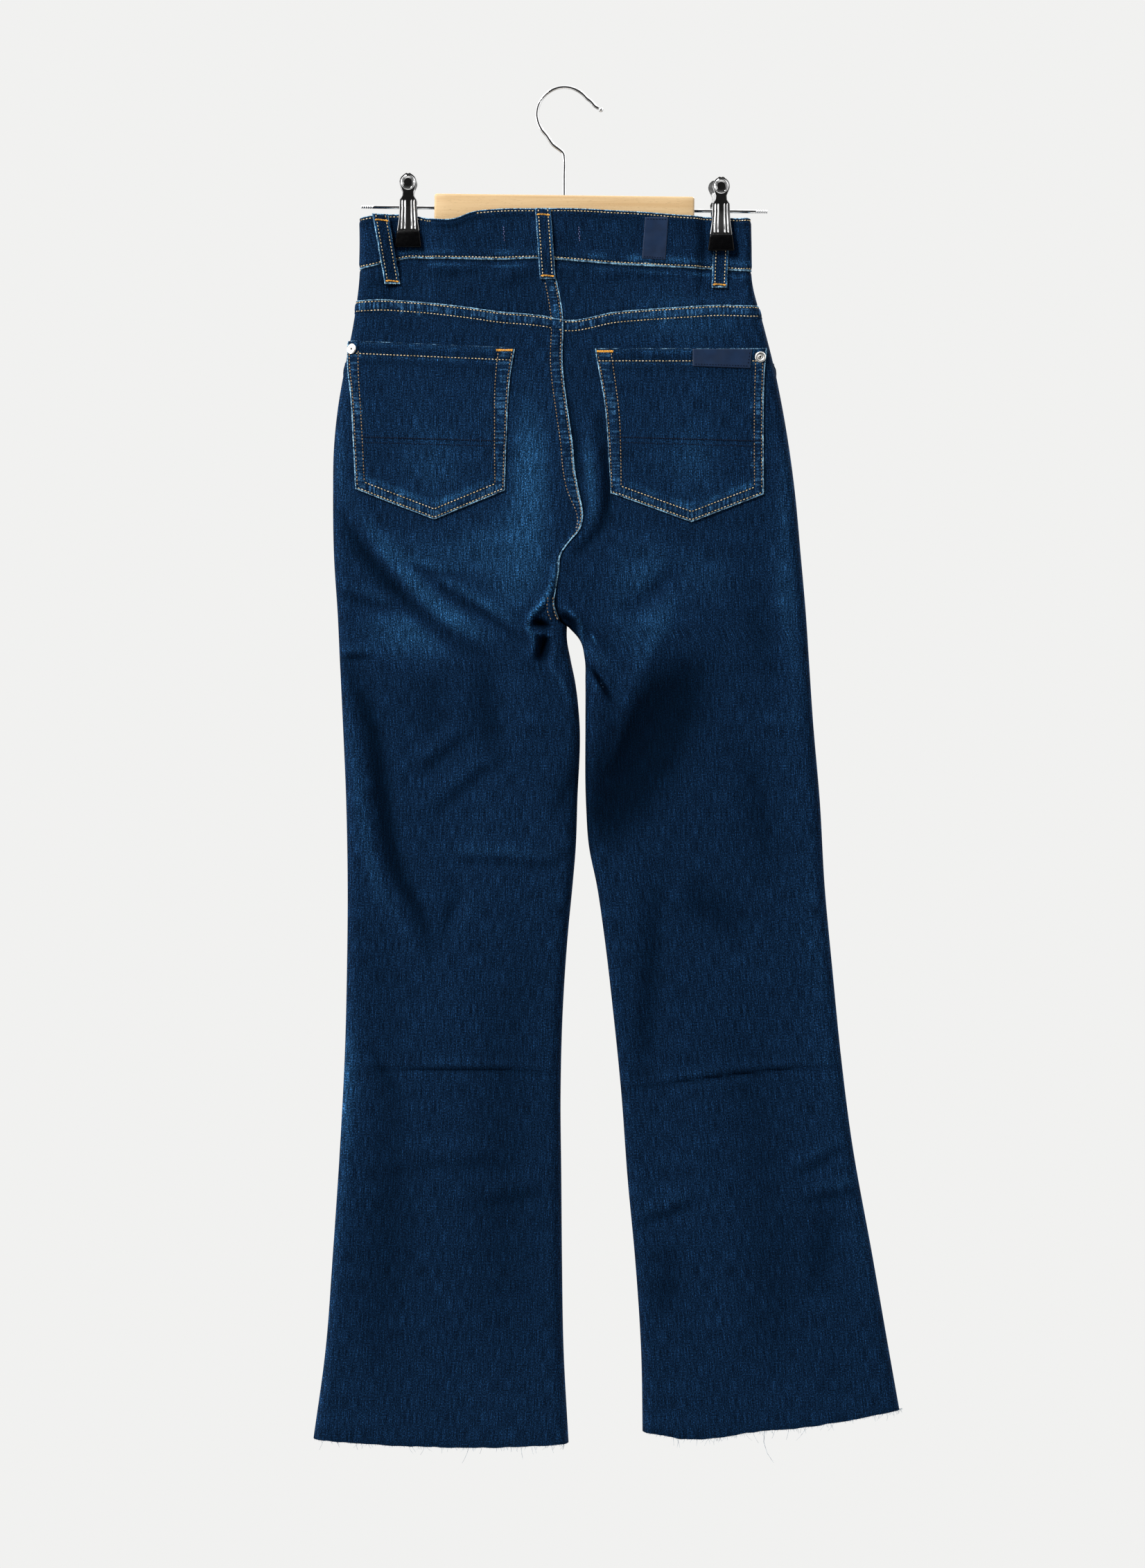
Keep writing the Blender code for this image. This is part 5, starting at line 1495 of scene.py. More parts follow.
def pocket_facing(side):
    """The denim facing that shows in a front pocket's opening."""
    sign = side_sign(side)
    corner_x, corner_z = scoop_corner(side)
    share = np.concatenate([np.linspace(0.02, 0.94, 26), [0.965, 0.985, 0.993, 0.9955]])[:, None]
    last = np.full(share.shape, math.pi / 2)
    for _ in range(6):
        z = corner_z - SCOOP_DOWN * share * np.sin(last) - 0.3
        beyond = sign * (outer_x(side, z) - corner_x) / (SCOOP_ACROSS * share)
        last = math.pi / 2 + np.arcsin(np.clip(beyond, -0.98, 0.6))
    turn = last * np.linspace(0, 1, 44)
    x = corner_x - sign * SCOOP_ACROSS * share * np.cos(turn)
    z = np.minimum(corner_z - SCOOP_DOWN * share * np.sin(turn) - 0.3,
                   FRONT_AT["waist"](x) - GAP / 2)
    x = sign * np.minimum(sign * x, sign * outer_x(side, z) - 0.05)
    middle, normals = on_cloth("front", x, z, -0.15)
    piece = cloth_shell(
        side + "_pocket_facing", middle, 0.8, 0.0, normals, rounded=(),
        replaces=("pocket_facing_" + side,), fade=np.full(x.shape, -0.15), weave=(x, z),
    )


def loop_grid(loop):
    """Middle surface of a belt loop, its distances from the sides and from its lower end."""
    lines = BACK_AT if loop.layer == "back" else FRONT_AT
    top = float(lines["top"](np.array(loop.x_top)))
    half = LOOP_WIDTH / 2
    across = np.array((0, 0.3, 0.8, 1.4, 2.0, 2.6, 3.1, 4.2, 5.4)) - half
    across = np.concatenate([across, [0.0], -across[::-1]])
    share = np.concatenate([[0, 0.004, 0.012, 0.02], np.linspace(0.03, 0.955, 44),
                            [0.965, 0.975, 0.985, 0.995, 1.0]])[:, None]
    x_mid = loop.x_top + share * (loop.x_bottom - loop.x_top)
    z = top - share * loop.length + 0.0 * across
    samples = x_mid[..., None] + np.linspace(-half, half, 9)
    depth = full_depth(loop.layer, samples, np.broadcast_to(z[:, :1, None], samples.shape))
    first, last = depth[..., 0], depth[..., -1]
    bulge = (depth - (first[..., None] + (last - first)[..., None] * np.linspace(0, 1, 9))).max(-1)
    ease = (BAND_WALL + LOOP_WALL) / 2 + GAP + LIE_EASE
    standoff = curve_through(LOOP_STANDOFF)(share) * loop.slack
    rest = first + (last - first) * (across + half) / LOOP_WIDTH + bulge
    y = outward(loop.layer) * (rest + ease + standoff)
    points = np.stack([x_mid + across, y, z], -1)
    sides = half - abs(across) + 0 * z
    return points, sides, (1 - share) * loop.length + 0 * sides, share * loop.length + 0 * sides


def belt_loop(name, loop):
    """A belt loop; returns the stitches of its two rows, its points and its normals."""
    points, sides, above_end, below_top = loop_grid(loop)
    x, _, z = np.moveaxis(points, -1, 0)
    normals = facing(points, loop.layer)
    sunk = np.clip(groove(sides, (LOOP_WIDTH / 2 - LOOP_ROW,)), 0, 1)
    relief = 0.35 * (1 - ramp(sides, 0.8, 4.5)) - 0.25 * sunk + 0.12 * ripple(x, z, 3, 5, 12)
    uneven = 1 + 0.5 * ripple(x, z, 4, 4, 14)
    rim = np.minimum(np.minimum(sides * 2.1, above_end * 0.9), below_top * 1.2) * uneven
    fade = 0.02 + 0.12 * ripple(x, z, 8, 12, 2) + 0.75 * (1 - ramp(sides, 1.2, 3.2)) * (
        0.8 + 0.4 * ripple(x, z, 4, 4, 5))
    piece = cloth_shell(
        name.replace("belt_loop_", "") + "_belt_loop", points, LOOP_WALL, relief, normals,
        rounded=EDGES, finishes=("denim",), replaces=(name,), fade=fade, groove=sunk, run=z,
        rim=np.where(rim > 1.6, NO_RIM, rim),
    )
    rows = []
    for offset in (-LOOP_ROW, LOOP_ROW):
        column = int(np.argmin(abs(points[0, :, 0] - points[0, :, 0].mean() - offset)))
        line = points[2:-2, column] + normals[2:-2, column] * (LOOP_WALL / 2 + 0.05)
        rows.append(stitches(line, normals[2:-2, column]))
    return rows, points, normals


def loop_tacks(points, normals):
    """Bar tacks across a loop near its two ends."""
    made = []
    down = points[0, 0, 2] - points[:, 0, 2]
    for share in (0.085, 0.95):
        row = int(np.argmin(abs(down - share * down[-1])))
        middle, normal = points[row, 3:-3], normals[row, 3:-3]
        run = np.linspace(0, 1, 15)
        for k, at in enumerate(run):
            where = [np.interp(at * (len(middle) - 1), range(len(middle)), middle[:, i])
                     for i in range(3)]
            centre = np.array(where) + normal[0] * (LOOP_WALL / 2 + 0.3)
            lean = np.array((0.16 * (-1) ** k, 0, 1.0))
            centre[2] += 0.35 * math.sin(5.0 * at)
            line = centre + np.linspace(-0.8, 0.8, 5)[:, None] * lean
            made.append(stitches(line, np.repeat(normal[:1], 5, 0), pitch=1.6, length=1.6,
                                 width=0.75))
    return made


def cornered_grid(corners, steps):
    """Even x and z grid inside four corners, close together along its borders."""
    a, b, c, d = (np.array(corner, float) for corner in corners)
    near = np.array((0.0, 0.012, 0.03, 0.06, 0.1))
    share = np.concatenate([near, np.linspace(0.1, 0.9, steps)[1:-1], 1 - near[::-1]])
    u, v = share[None, :, None], share[:, None, None]
    flat = (a * (1 - u) + b * u) * (1 - v) + (d * (1 - u) + c * u) * v
    return flat[..., 0], flat[..., 1]


def trim(name, corners, rest, node, radius, closing):
    """A thin satin piece laid on the cloth."""
    x, z = cornered_grid(corners, 18)
    points, normals = on_cloth("back", x, z, rest, radius, closing)
    soft = 0.10 * ripple(x, z, 6, 6, 3)
    piece = cloth_shell(
        name, points, TRIM_WALL, soft, normals, rounded=EDGES,
        finishes=("satin",), replaces=(node,),
    )


# ---- Topstitching ----

# How high a seam's stitches stand over the middle of the cloth.
SEAM_FACE = PANEL_WALL / 2 + LAP_RISE - 0.25


def back_rows():
    """Gold and rust rows of the yoke, the centre seam and the pockets, seen behind."""
    gold, rust = [], []
    for side in SIDES:
        sign = side_sign(side)
        x = np.linspace(CENTRE_AT["back"](-196.0) + sign * 1.2, outer_x(side, -190.0) - sign * 1.0,
                        170)
        for row in LAP_ROWS:
            gold.append(row_on("back", x, BACK_AT["yoke"](x) - row, SEAM_FACE))
    for row, end in zip(CENTRE_ROWS, (-386, -379)):
        for z, lift in ((np.linspace(-167, end, 220), SEAM_FACE),
                        (np.linspace(-437, -457, 40), SEAM_FACE + 0.45)):
            x = CENTRE_AT["back"](z) - CENTRE_ROWS[0] - (row - CENTRE_ROWS[0]) * centre_pull(z)
            rust.append(row_on("back", x, z, lift, closing=False))
    face = POCKET_REST + POCKET_WALL / 2 + 0.15
    for side in SIDES:
        outer = pocket_row(side, POCKET_OUTER_ROW, lambda z: POCKET_OUTER_ROW, POCKET_OUTER_ROW)
        inner = pocket_row(side, POCKET_FAR_ROW, near_row, POCKET_BOTTOM_ROW)
        for lines in (outer, inner):
            for k, line in enumerate(lines):
                (rust if k in (0, 3) else gold).append(row_on("back", *line.T, face))
        near, far, top, _ = pocket_lines(side)
        sign = side_sign(side)
        x = np.linspace(far(-228.0) - sign * 6, near(-232.0) + sign * 1.5, 150)
        gold.append(row_on("back", x, top(x) - POCKET_TOP_ROW, face))
    return gold, rust


def band_rows():
    """Gold rows along both edges of the waistband, all round."""
    rows = []
    for side in SIDES:
        sign = side_sign(side)
        for layer in ("back", "front"):
            x = np.linspace(outer_x(side, BAND_LEVEL) - sign * 0.8,
                            CENTRE_AT[layer](BAND_LEVEL) + sign * 0.8, 190)
            along = abs(x - x[-1])
            lapped = layer == "front" and side == "left"
            lift = BAND_WALL / 2 - 0.05 + lapped * BAND_LIFT * (1 - ramp(along, 0, 26))
            for edge, up in (("waist", 2.3), ("top", -2.3)):
                points, normals = on_cloth(layer, x, LINES_AT[layer][edge](x) + up, lift,
                                           BAND_EDGE_RADIUS, False)
                points[:, 0] += lapped * BAND_LAP * (1 - ramp(along, 0, 40))
                # The top row behind breaks where the edge rolls back.
                parts = [x <= -113, x >= -76] if (layer, edge) == ("back", "top") else [x == x]
                rows += [stitches(points[part], normals[part]) for part in parts if part.sum() > 3]
    return rows


def front_rows():
    """Gold rows of the pocket scoops and the fly."""
    rows = []
    turn = np.linspace(0.03, math.pi / 2 - 0.09, 120)
    for side in SIDES:
        corner_x, corner_z = scoop_corner(side)
        for row in LAP_ROWS:
            x = corner_x - side_sign(side) * (SCOOP_ACROSS + row) * np.cos(turn)
            z = corner_z - (SCOOP_DOWN + row) * np.sin(turn)
            inside = z < FRONT_AT["waist"](x) - 1.0
            rows.append(row_on("front", x[inside], z[inside], SEAM_FACE))
    face = PANEL_WALL / 2 + 0.1
    for reach in (34.0, 40.0):
        z = np.linspace(-178, FLY_BOTTOM - 4, 150)
        bend = np.sqrt(np.clip(1 - ((z + 268) / 52) ** 2, 0, 1))
        x = CENTRE_AT["front"](z) + 2 - reach * np.where(z > -268, 1.0, bend)
        rows.append(row_on("front", x, z, face))
    for row, from_z in ((3.0, -178), (9.0, -322)):
        z = np.linspace(-178, -452, 280)
        z = z[z < from_z]
        lapped = z > FLY_BOTTOM
        x = CENTRE_AT["front"](z) + FLY_LAP * lapped - row
        rows.append(row_on("front", x, z, face + FLY_LIFT * lapped, closing=False))
    return rows


# ---- Hanger ----

def tilted(points, centre_x=0.0):
    """Turns points given about the rod's centre by the small tilt of the hanger."""
    points = np.asarray(points, float)
    x, y, z = points[..., 0] + centre_x, points[..., 1], points[..., 2]
    c, s = math.cos(HANGER_TILT), math.sin(HANGER_TILT)
    return np.stack([c * x + s * z, y, ROD_CENTRE_Z - s * x + c * z], -1)


def hook_route():
    route = [(x, 0.0, z) for x, z in HOOK_STEM]
    for angle in np.radians(np.linspace(*HOOK_ARC, 40)):
        route.append((HOOK_RADIUS * math.cos(angle), 0.0,
                      HOOK_CENTRE_Z + HOOK_RADIUS * math.sin(angle)))
    return np.array(route + [(x, 0.0, z) for x, z in HOOK_TIP])


def hook():
    route = hook_route()
    path = smooth_path(route, 3)
    solid("hook_wire", [tube(path, WIRE / 2, 20)], "chrome", ("hanger_hook",))
    tip = unit(route[-1] - route[-2])
    turns = np.linspace(0, math.pi, 15)
    ball = [(BALL_RADIUS * math.sin(t), -BALL_RADIUS * math.cos(t)) for t in turns]
    solid("hook_end_ball", [turned(ball, route[-1] + tip * (BALL_RADIUS + 0.2), tip, 24)],
          "chrome", ("hook_ball",))


def rod():
    half, radius = ROD_LENGTH / 2, ROD_DIAMETER / 2
    profile = [(0.0, half), (radius - 0.4, half - 0.02), (radius, half - 0.35)]
    for rib in range(5):
        z = half - 0.9 - rib * 1.9
        profile += [(radius, z), (radius - 0.1, z - 0.15), (radius - 0.34, z - 0.4),
                    (radius - 0.34, z - 0.8), (radius - 0.1, z - 1.05), (radius, z - 1.2)]
    profile.append((radius, half - 12.0))
    profile += [(r, -z) for r, z in reversed(profile)]
    points, faces = turned(profile, (0, 0, 0), (1, 0, 0), 24)
    solid("clip_rod", [(tilted(points), faces)], "chrome", ("hanger_rod",))


def wooden_bar():
    length, depth, height = BAR_SIZE
    rings = []
    for x, inset in ((0, 1.6), (0.35, 0.8), (1.0, 0.25), (1.9, 0.0)):
        rings.append((-length / 2 + x, inset))
    rings += [(x, 0.0) for x in np.linspace(-length / 2 + 12, length / 2 - 12, 9)]
    rings += [(-x, inset) for x, inset in rings[3::-1]]
    z = BAR_CENTRE_Z - ROD_CENTRE_Z
    points, faces = loft([
        rounded_ring((x, 0, z), (0, 1, 0), (0, 0, 1), depth / 2 - inset, height / 2 - inset,
                     max(0.4, 1.9 - inset * 0.6))
        for x, inset in rings])
    solid("wooden_bar", [(tilted(points), faces)], "beech", ("hanger_bar",))


def plate_grid(layer, foot):
    """Middle surface of a pressed clip plate and the height of its pressed relief."""
    z_rows, halves, outs = np.array(PLATE_ROWS)[::-1].T
    z = np.linspace(27.8, -20.6, 118)[:, None]
    across = np.sin(np.linspace(-math.pi / 2, math.pi / 2, 71))
    half = np.interp(z, z_rows, halves)
    ring_half = np.sqrt(np.clip(7.3 ** 2 - (z - RING_CENTRE) ** 2, 0.6, None))
    half = np.where(z > RING_CENTRE, ring_half, np.maximum(half, np.where(z > 14.5, ring_half, 0)))
    x = half * across
    toward_foot = ramp(z, 0.0, -20.6)
    out = np.interp(z, z_rows, outs) + toward_foot * (foot - outs[0])
    crown = 0.4 * abs(across)
    middle = np.stack([x, outward(layer) * (out - crown), z + 0 * x], -1)
    from_ring = np.hypot(x, z - RING_CENTRE)
    relief = 0.55 * np.exp(-((from_ring - 5.4) / 0.6) ** 2) - 0.35 * (1 - ramp(from_ring, 3.4, 4.2))
    body = ramp(z, 7.0, 4.5) * (1 - ramp(z, -18.8, -20.0))
    spread = 1 + 0.16 * ramp(z, 5.0, -20.0)
    ribs = sum(np.exp(-((x / spread - at) / 0.34) ** 2) for at in (-5.0, -2.5, 2.5, 5.0))
    rim = np.exp(-((half * (1 - abs(across))) / 0.35) ** 2)
    return middle, relief + body * 0.5 * ribs + 0.25 * rim


def clip(side):
    """Two pressed plates, their rubber pads and the coil spring round the rod."""
    x = CLIP_X[side]
    centre = np.array((x, 0.0, ROD_CENTRE_Z - x * math.sin(HANGER_TILT)))
    cloth_face = PINCH_DEPTH + BAND_WALL / 2 + GAP + LIE_EASE
    under_back = cloth_face + (LOOP_WALL + GAP + LIE_EASE if side == "right" else 0.0)
    for layer, inner in (("back", under_back), ("front", cloth_face)):
        node = "clip_" + side + "_" + layer
        middle, relief = plate_grid(layer, inner + PAD_THICKNESS / 2)
        if node == "clip_right_front":
            middle[..., 0] -= CLIP_LEAN * ramp(middle[..., 2], -15.0, 25.0)
        middle = middle + centre
        normals = facing(middle, layer)
        outer = middle + normals * (PLATE_WALL / 2 + np.maximum(relief, -0.4))[..., None]
        back = middle - normals * PLATE_WALL / 2
        shell(side + "_clip_" + layer + "_plate", outer, back, ("chrome",), (node + "_plate",))
        top = PLATE_ROWS[-1][0] - GAP
        rings = []
        y = outward(layer) * (inner + PAD_THICKNESS / 2)
        for down, inset in ((0, 0.9), (0.25, 0.35), (0.8, 0.0), (3, 0.0), (6, 0.0), (9, 0.0),
                            (12.6, 0.0), (13.5, 0.3), (14.0, 0.9)):
            share = down / PAD_HEIGHT
            width = PAD_WIDTHS[0] + (PAD_WIDTHS[1] - PAD_WIDTHS[0]) * share
            rings.append(rounded_ring(centre + (0, y, top - down), (1, 0, 0), (0, 1, 0),
                                      width / 2 - inset, PAD_THICKNESS / 2 - inset * 0.6, 1.1))
        solid(side + "_clip_" + layer + "_pad", [loft(rings)], "rubber", (node + "_pad",))
    turns = np.linspace(0, 6.5 * math.tau, 170)
    coil = np.stack([
        x + (turns / turns[-1] - 0.5) * (SPRING_LENGTH - 1.4),
        3.75 * np.cos(turns), 3.75 * np.sin(turns)], -1)
    solid(side + "_clip_spring", [tube(tilted(coil), 0.62, 8)], "chrome",
          ("clip_" + side + "_spring",))


# ---- Operators ----

class JEANS_OT_panels(bpy.types.Operator):
    """The leg panels, from the yoke or the waist to the raw hem, and the felled centre seam"""
    bl_idname = "jeans.panels"
    bl_label = "Leg panels"

    def execute(self, context):
        for side in SIDES:
            for layer in LAYERS:
                leg_panel(side, layer)
        for layer in LAYERS:
            seam_allowance(layer)
        return {"FINISHED"}


class JEANS_OT_yokes(bpy.types.Operator):
    """The two yoke pieces between the waistband and the back panels"""
    bl_idname = "jeans.yokes"
    bl_label = "Yokes"

    def execute(self, context):
        for side in SIDES:
            yoke(side)
        return {"FINISHED"}


class JEANS_OT_waistband(bpy.types.Operator):
    """The two doubled halves of the waistband, with their rows of topstitching"""
    bl_idname = "jeans.waistband"
    bl_label = "Waistband"

    def execute(self, context):
        for side in SIDES:
            waistband(side)
        sew("waistband_topstitching", band_rows(), "gold")
        return {"FINISHED"}


class JEANS_OT_back_pockets(bpy.types.Operator):
    """The two pointed patch pockets with their plain navy decoration and bar tacks"""
    bl_idname = "jeans.back_pockets"
    bl_label = "Back pockets"

    def execute(self, context):
        face = POCKET_REST + POCKET_WALL / 2 + 0.1
        tonal, tacks = [], []
        for side in SIDES:
            back_pocket(side)
            near, far, top, _ = pocket_lines(side)
            sign = side_sign(side)
            for z, thick in ((-302.0, 1.3), (-306.5, 0.8)):
                x = np.linspace(far(z) - sign * 1.4, near(z) + sign * 1.4, 120)
                tonal.append(row_on("back", x, z - 0.028 * (x - x.mean()), face, pitch=1.9,
                                    length=1.5, width=thick))
            at = near(-226.0) + sign * 8.6
            tacks.append(pocket_tack(at, float(top(at)) - 2.6, face + 0.25))
        sew("pocket_tonal_stitching", tonal, "tonal")
        sew("pocket_bar_tacks", tacks, "tack")
        return {"FINISHED"}


class JEANS_OT_front_pockets(bpy.types.Operator):
    """The denim facings in the two scooped front pocket openings"""
    bl_idname = "jeans.front_pockets"
    bl_label = "Front pockets"

    def execute(self, context):
        for side in SIDES:
            pocket_facing(side)
        return {"FINISHED"}


class JEANS_OT_belt_loops(bpy.types.Operator):
    """Five belt loops with their stitch rows and bar tacks"""
    bl_idname = "jeans.belt_loops"
    bl_label = "Belt loops"

    def execute(self, context):
        rows, tacks = [], []
        for name, loop in BELT_LOOPS.items():
            made, points, normals = belt_loop(name, loop)
            rows += made
            tacks += loop_tacks(points, normals)
        sew("loop_topstitching", rows, "gold")
        sew("loop_bar_tacks", tacks, "tack")
        return {"FINISHED"}


class JEANS_OT_topstitching(bpy.types.Operator):
    """Gold topstitching of the yoke, centre seam, pockets, scoops and fly"""
    bl_idname = "jeans.topstitching"
    bl_label = "Topstitching"

    def execute(self, context):
        gold, rust = back_rows()
        sew("back_topstitching", gold, "gold")
        sew("back_side_topstitching", rust, "rust")
        sew("front_topstitching", front_rows(), "gold")
        marks = []
        for x in (-52.2, 12.4):
            line = [(x + (0.5 if k % 2 else -0.5) + 0.1 * k, -119.5 - 1.6 * k) for k in range(9)]
            marks.append(row_on("back", *dense(line, 0.4).T, BAND_WALL / 2 + 0.3, BAND_EDGE_RADIUS,
                                False, pitch=2.1, length=1.6, width=0.7))
        sew("waistband_tack_marks", marks, "lilac")
        return {"FINISHED"}


class JEANS_OT_trims(bpy.types.Operator):
    """The bare navy patch on the waistband and the navy tab strip of the right pocket"""
    bl_idname = "jeans.trims"
    bl_label = "Patch and tab"

    def execute(self, context):
        trim("navy_patch", WAIST_PATCH, PATCH_REST, "waist_patch", BAND_EDGE_RADIUS, False)
        trim("navy_tab", POCKET_TAB, TAB_REST, "pocket_tab", EDGE_RADIUS, True)
        a, b, c, d = (np.array(corner) for corner in WAIST_PATCH)
        rows = []
        for left, right, drop in ((a, b, -1.6), (d, c, 1.6)):
            line = dense([left + (1.2, drop), right + (-1.2, drop)])
            rows.append(row_on("back", *line.T, PATCH_REST + TRIM_WALL / 2 + 0.05,
                               BAND_EDGE_RADIUS, False, pitch=2.2, length=1.7, width=0.7))
        a, b, c, d = (np.array(corner) for corner in POCKET_TAB)
        for line in ((d + (1.6, 1.7), c + (-1.8, 1.9)), (b + (-1.9, -2.4), c + (-1.8, 3.4))):
            rows.append(row_on("back", *dense(line).T, TAB_REST + TRIM_WALL / 2 + 0.05, pitch=2.4,
                               length=1.7, width=0.7))
        sew("patch_stitching", rows, "tonal")
        return {"FINISHED"}


class JEANS_OT_metal(bpy.types.Operator):
    """The pocket rivets and the waist button"""
    bl_idname = "jeans.metal"
    bl_label = "Rivets and button"

    def execute(self, context):
        lift = PANEL_WALL / 2 + POCKET_WALL + 2 * (GAP + LIE_EASE) + LIE_EASE
        profile = ((0, 0), (4.3, 0), (4.6, 0.25), (4.65, 0.55), (4.4, 0.95), (3.9, 1.15),
                   (3.2, 1.12), (2.7, 0.9), (2.4, 0.75), (1.9, 0.8), (1.5, 1.0), (1.15, 1.0),
                   (0.9, 0.8), (0.8, 0.35), (0.5, 0.3), (0, 0.3))
        for side in SIDES:
            x, z = RIVETS[side]
            point, normal = on_cloth("back", np.array([x]), np.array([z]), np.array([lift]))
            solid(side + "_rivet", [turned(profile, point[0], normal[0], 40)],
                  "silver", ("pocket_rivet_" + side,))
            # A black disc in the rivet's hollow centre paints the shade of its hole.
            hole_shade = turned(((0, 0.3), (0.85, 0.34), (0.8, 0.44), (0, 0.5)), point[0], normal[0], 16)
            solid(side + "_rivet_hole_shade", [hole_shade], "rubber")
        x = float(CENTRE_AT["front"](BUTTON_HEIGHT)) + BAND_LAP / 4
        depth = full_depth("front", np.array([x]), np.array([BUTTON_HEIGHT]))[0]
        base = (x, depth + BAND_LIFT + BAND_WALL / 2 + GAP, BUTTON_HEIGHT)
        profile = ((0, 0), (3.0, 0), (3.0, 1.3), (7.6, 1.5), (8.4, 1.8), (8.5, 2.3), (8.1, 2.9),
                   (7.4, 3.3), (6.8, 3.35), (6.3, 3.1), (5.9, 2.8), (4.0, 2.75), (2.4, 2.9),
                   (1.4, 3.1), (0.9, 3.0), (0, 2.9))
        solid("button", [turned(profile, base, (0, 1, 0), 48)], "silver", ("waist_button",))
        return {"FINISHED"}


class JEANS_OT_fringe(bpy.types.Operator):
    """Loose threads of the raw hems"""
    bl_idname = "jeans.fringe"
    bl_label = "Hem fringe"

    def execute(self, context):
        rng = np.random.default_rng(11)
        turns = np.linspace(0, math.tau, 3, endpoint=False)
        for side in SIDES:
            parts = []
            low, high = sorted((float(outer_x(side, HEM_LEVEL)),
                                float(inner_x(side, "back", np.array(HEM_LEVEL)))))
            for layer in LAYERS:
                for x in np.arange(low + 1.0, high - 1.0, 0.45):
                    x = x + rng.uniform(-0.3, 0.3)
                    z = float(hem_at(side, x)) + 0.4
                    y = float(garment_y(layer, np.array([x]), np.array([z]))[0])
                    y += rng.uniform(-0.35, 0.35)
                    clump = 1.0 + 0.9 * float(ripple(np.array(x), np.array(0.0), 9, 1, 3))
                    reach = 0.6 + rng.exponential(0.30)
                    if rng.random() < 0.16 * clump:
                        reach = min(1.6 + rng.exponential(2.0), 9.0)
                    parts.append(self.strand(rng, (x, y, z), reach, turns))
            loose = ((171.5, 27.0), (207.0, 12.0), (96.0, 8.0)) if side == "right" else (
                (-82.0, 13.0), (-37.0, 11.0), (-120.0, 7.0))
            for x, reach in loose:
                y = float(garment_y("back", np.array([x]), np.array([-1150.0]))[0])
                parts.append(self.strand(rng, (x, y, float(hem_at(side, x))), reach, turns))
            solid(side + "_hem_fringe", parts, "fringe")
        return {"FINISHED"}

    @staticmethod
    def strand(rng, start, reach, turns):
        """One thread: it leaves the cloth downwards and wanders a little."""
        lean, bow = rng.normal(0, 0.35, 2), rng.normal(0, 0.35, 2)
        rings = []
        for share in (0.0, 0.35, 0.7, 1.0):
            drift = lean * share + bow * share * share
            centre = np.array(start) + (drift[0] * reach, drift[1] * reach * 0.5, -share * reach)
            radius = (0.15 + 0.004 * reach) * (1 - 0.5 * share)
            rings.append(centre + radius * np.stack(
                [np.cos(turns), np.sin(turns), 0 * turns], -1))
        return loft(rings)


class JEANS_OT_hanger(bpy.types.Operator):
    """The hanger: wire hook, rod, wooden bar and two clips"""
    bl_idname = "jeans.hanger"
    bl_label = "Hanger"

    def execute(self, context):
        hook()
        rod()
        wooden_bar()
        for side in SIDES:
            clip(side)
        return {"FINISHED"}


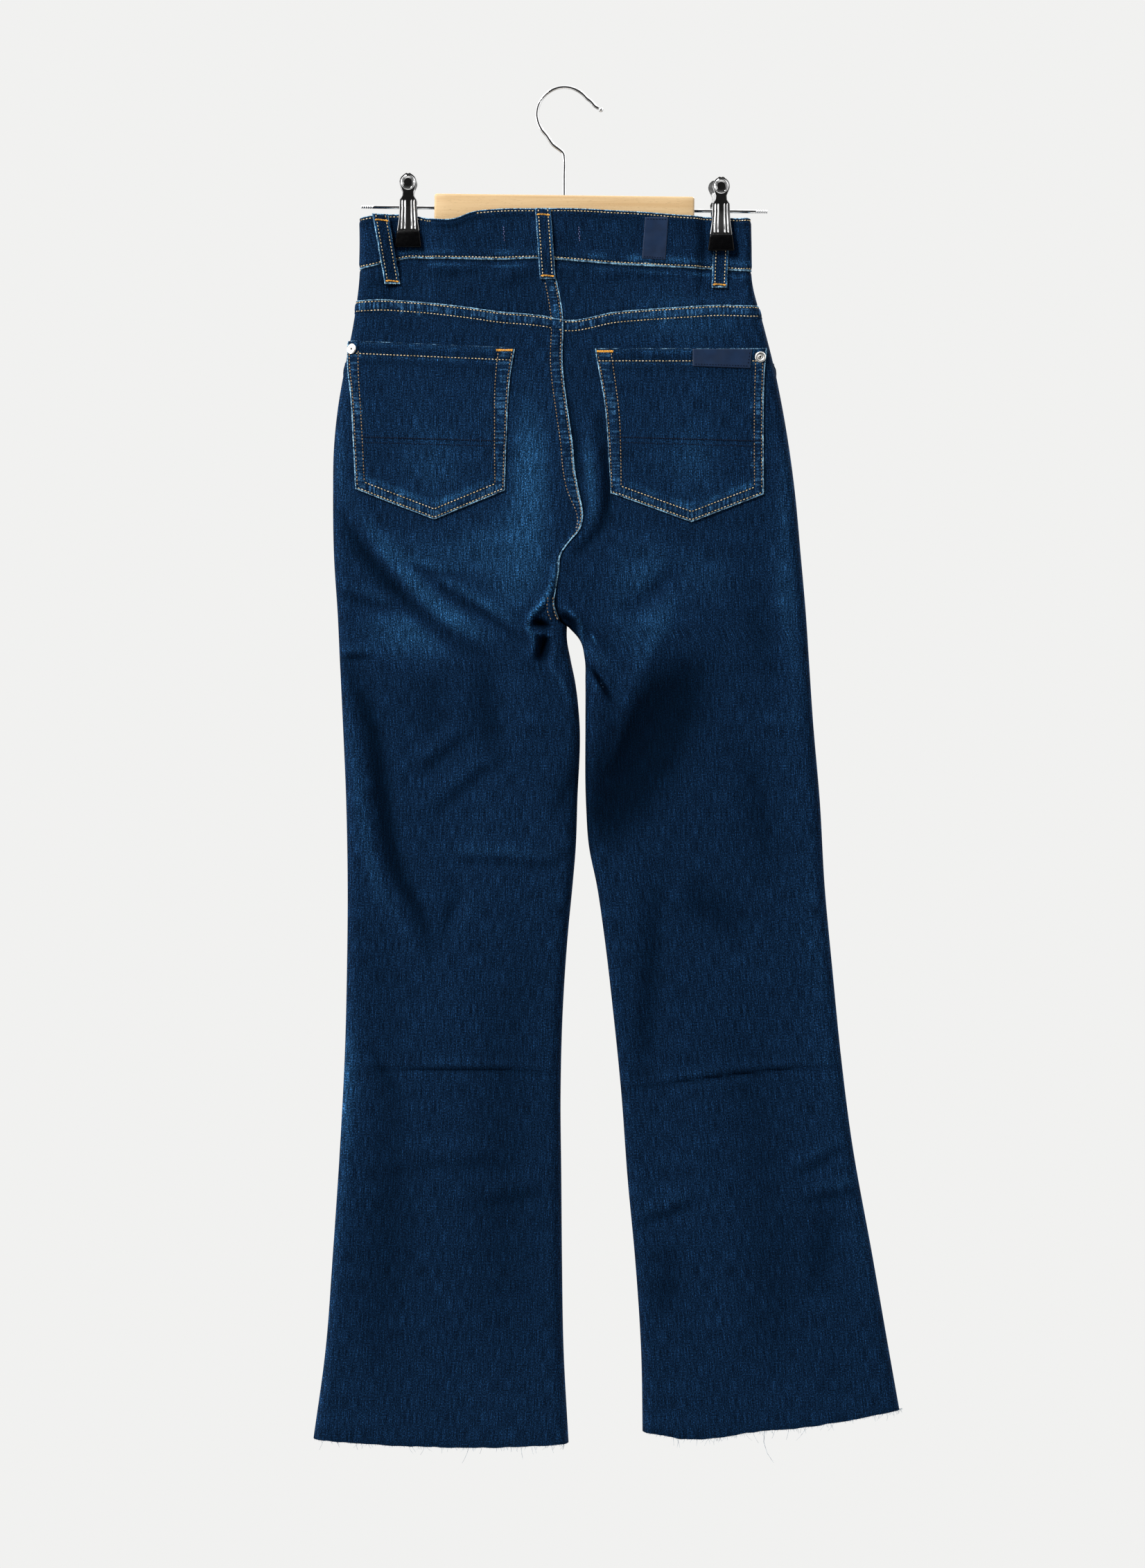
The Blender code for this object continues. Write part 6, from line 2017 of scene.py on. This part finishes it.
class JEANS_OT_stage(bpy.types.Operator):
    """Pale floor and surroundings, soft lights and the camera"""
    bl_idname = "jeans.stage"
    bl_label = "Stage"

    def execute(self, context):
        scene = context.scene
        stage = scene.jeans_stage
        scene.view_settings.view_transform = "Standard"
        scene.view_settings.look = "None"
        self.surroundings(scene, stage)
        self.floor(scene, stage)
        self.light(scene, "key_light", (-1.4, -1.8, 1.5), stage.key, 0.9)
        self.light(scene, "fill_light", (2.2, -1.9, -0.2), stage.fill, 1.6)
        self.light(scene, "side_light", (-2.4, -0.45, -0.5), stage.side, 1.2)
        self.light(scene, "front_key_light", (1.4, 1.8, 1.5), stage.key, 0.9)
        self.light(scene, "front_fill_light", (-2.2, 1.9, -0.2), stage.fill, 1.6)
        lens = bpy.data.cameras.new("camera")
        lens.lens = stage.lens
        lens.sensor_width = 36.0
        camera = bpy.data.objects.new("camera", lens)
        scene.collection.objects.link(camera)
        camera.location = (0.007, -2.62 * stage.lens / 70.0, -0.5975)
        camera.rotation_euler = (math.pi / 2, 0, 0)
        scene.camera = camera
        return {"FINISHED"}

    @staticmethod
    def light(scene, name, place, power, size):
        lamp = bpy.data.lights.new(name, "AREA")
        lamp.energy = power
        lamp.size = size
        piece = bpy.data.objects.new(name, lamp)
        piece.location = place
        aim = Vector((0, 0, -0.6)) - Vector(place)
        piece.rotation_euler = aim.to_track_quat("-Z", "Y").to_euler()
        scene.collection.objects.link(piece)

    @staticmethod
    def surroundings(scene, stage):
        world = bpy.data.worlds.new("studio")
        scene.world = world
        world.use_nodes = True
        world.node_tree.nodes.clear()
        nodes = Nodes(world.node_tree)
        seen = nodes.node("Background", {"Color": (*stage.backdrop, 1), "Strength": 1.0})
        x, y, z = nodes.node("SeparateXYZ", {0: nodes.place("Generated")}).node.outputs
        over = nodes.span(z, -0.1, 0.8, 0.08, 0.50)
        aside = nodes.node("Math", {0: x}, operation="ABSOLUTE")
        beside = nodes.span(aside, 0.5, 0.95, 0.0, 0.35)
        strength = nodes.times(nodes.plus(over, beside), nodes.span(y, -0.45, -0.9, 1.0, 0.06))
        strength = nodes.times(strength, nodes.span(y, 0.90, 0.98, 1.0, 0.06))
        ray = nodes.node("LightPath").node.outputs
        strength = nodes.times(strength, nodes.scaled(ray["Is Glossy Ray"], 2.0, 1.0))
        around = nodes.node("Background", {"Color": (1.0, 1.0, 1.0, 1), "Strength": strength})
        both = nodes.node("MixShader", {0: ray["Is Camera Ray"], 1: around, 2: seen})
        nodes.node("OutputWorld", {"Surface": both})

    @staticmethod
    def floor(scene, stage):
        half = 1.7
        mesh = bpy.data.meshes.new("floor")
        z = stage.floor
        mesh.from_pydata([(-half, -half, z), (half, -half, z), (half, half, z), (-half, half, z)],
                         [], [(0, 1, 2, 3)])
        finish = Finish("floor", Roughness=0.9, Specular_IOR_Level=0.1)
        where = finish.vector("MULTIPLY", finish.place(), (1, 1, 0))
        reach = finish.vector("LENGTH", where, output="Value")
        speck = finish.noise(finish.place(), (40, 40, 40), 3)
        finish.colour(finish.mix(speck, (0.80, 0.80, 0.79), (0.83, 0.83, 0.82)))
        finish.to("Alpha", finish.span(reach, 1.5, 0.4))
        mesh.materials.append(finish.material)
        floor = bpy.data.objects.new("floor", mesh)
        scene.collection.objects.link(floor)


class JEANS_PT_panel(bpy.types.Panel):
    bl_idname = "JEANS_PT_panel"
    bl_label = "Jeans on a hanger"
    bl_space_type = "VIEW_3D"
    bl_region_type = "UI"
    bl_category = "Jeans"

    def draw(self, context):
        layout = self.layout
        for group in (context.scene.jeans_denim, context.scene.jeans_thread,
                      context.scene.jeans_trims, context.scene.jeans_stage):
            box = layout.box()
            for name in group.bl_rna.properties.keys():
                if name not in ("rna_type", "name"):
                    box.prop(group, name)
        for operator in OPERATORS:
            layout.operator(operator.bl_idname)


GROUPS = {"jeans_denim": JeansDenim, "jeans_thread": JeansThread, "jeans_trims": JeansTrims,
          "jeans_stage": JeansStage}
OPERATORS = (
    JEANS_OT_panels, JEANS_OT_yokes, JEANS_OT_waistband, JEANS_OT_back_pockets,
    JEANS_OT_front_pockets, JEANS_OT_belt_loops, JEANS_OT_topstitching, JEANS_OT_trims,
    JEANS_OT_metal, JEANS_OT_fringe, JEANS_OT_hanger, JEANS_OT_stage,
)


def register():
    for name, group in GROUPS.items():
        bpy.utils.register_class(group)
        setattr(bpy.types.Scene, name, bpy.props.PointerProperty(type=group))
    for operator in OPERATORS:
        bpy.utils.register_class(operator)
    bpy.utils.register_class(JEANS_PT_panel)


def unregister():
    bpy.utils.unregister_class(JEANS_PT_panel)
    for operator in reversed(OPERATORS):
        bpy.utils.unregister_class(operator)
    for name, group in GROUPS.items():
        delattr(bpy.types.Scene, name)
        bpy.utils.unregister_class(group)


def main():
    register()
    for operator in OPERATORS:
        getattr(bpy.ops.jeans, operator.bl_idname.split(".")[1])()
    bpy.context.view_layer.update()


if __name__ == "__main__":
    main()
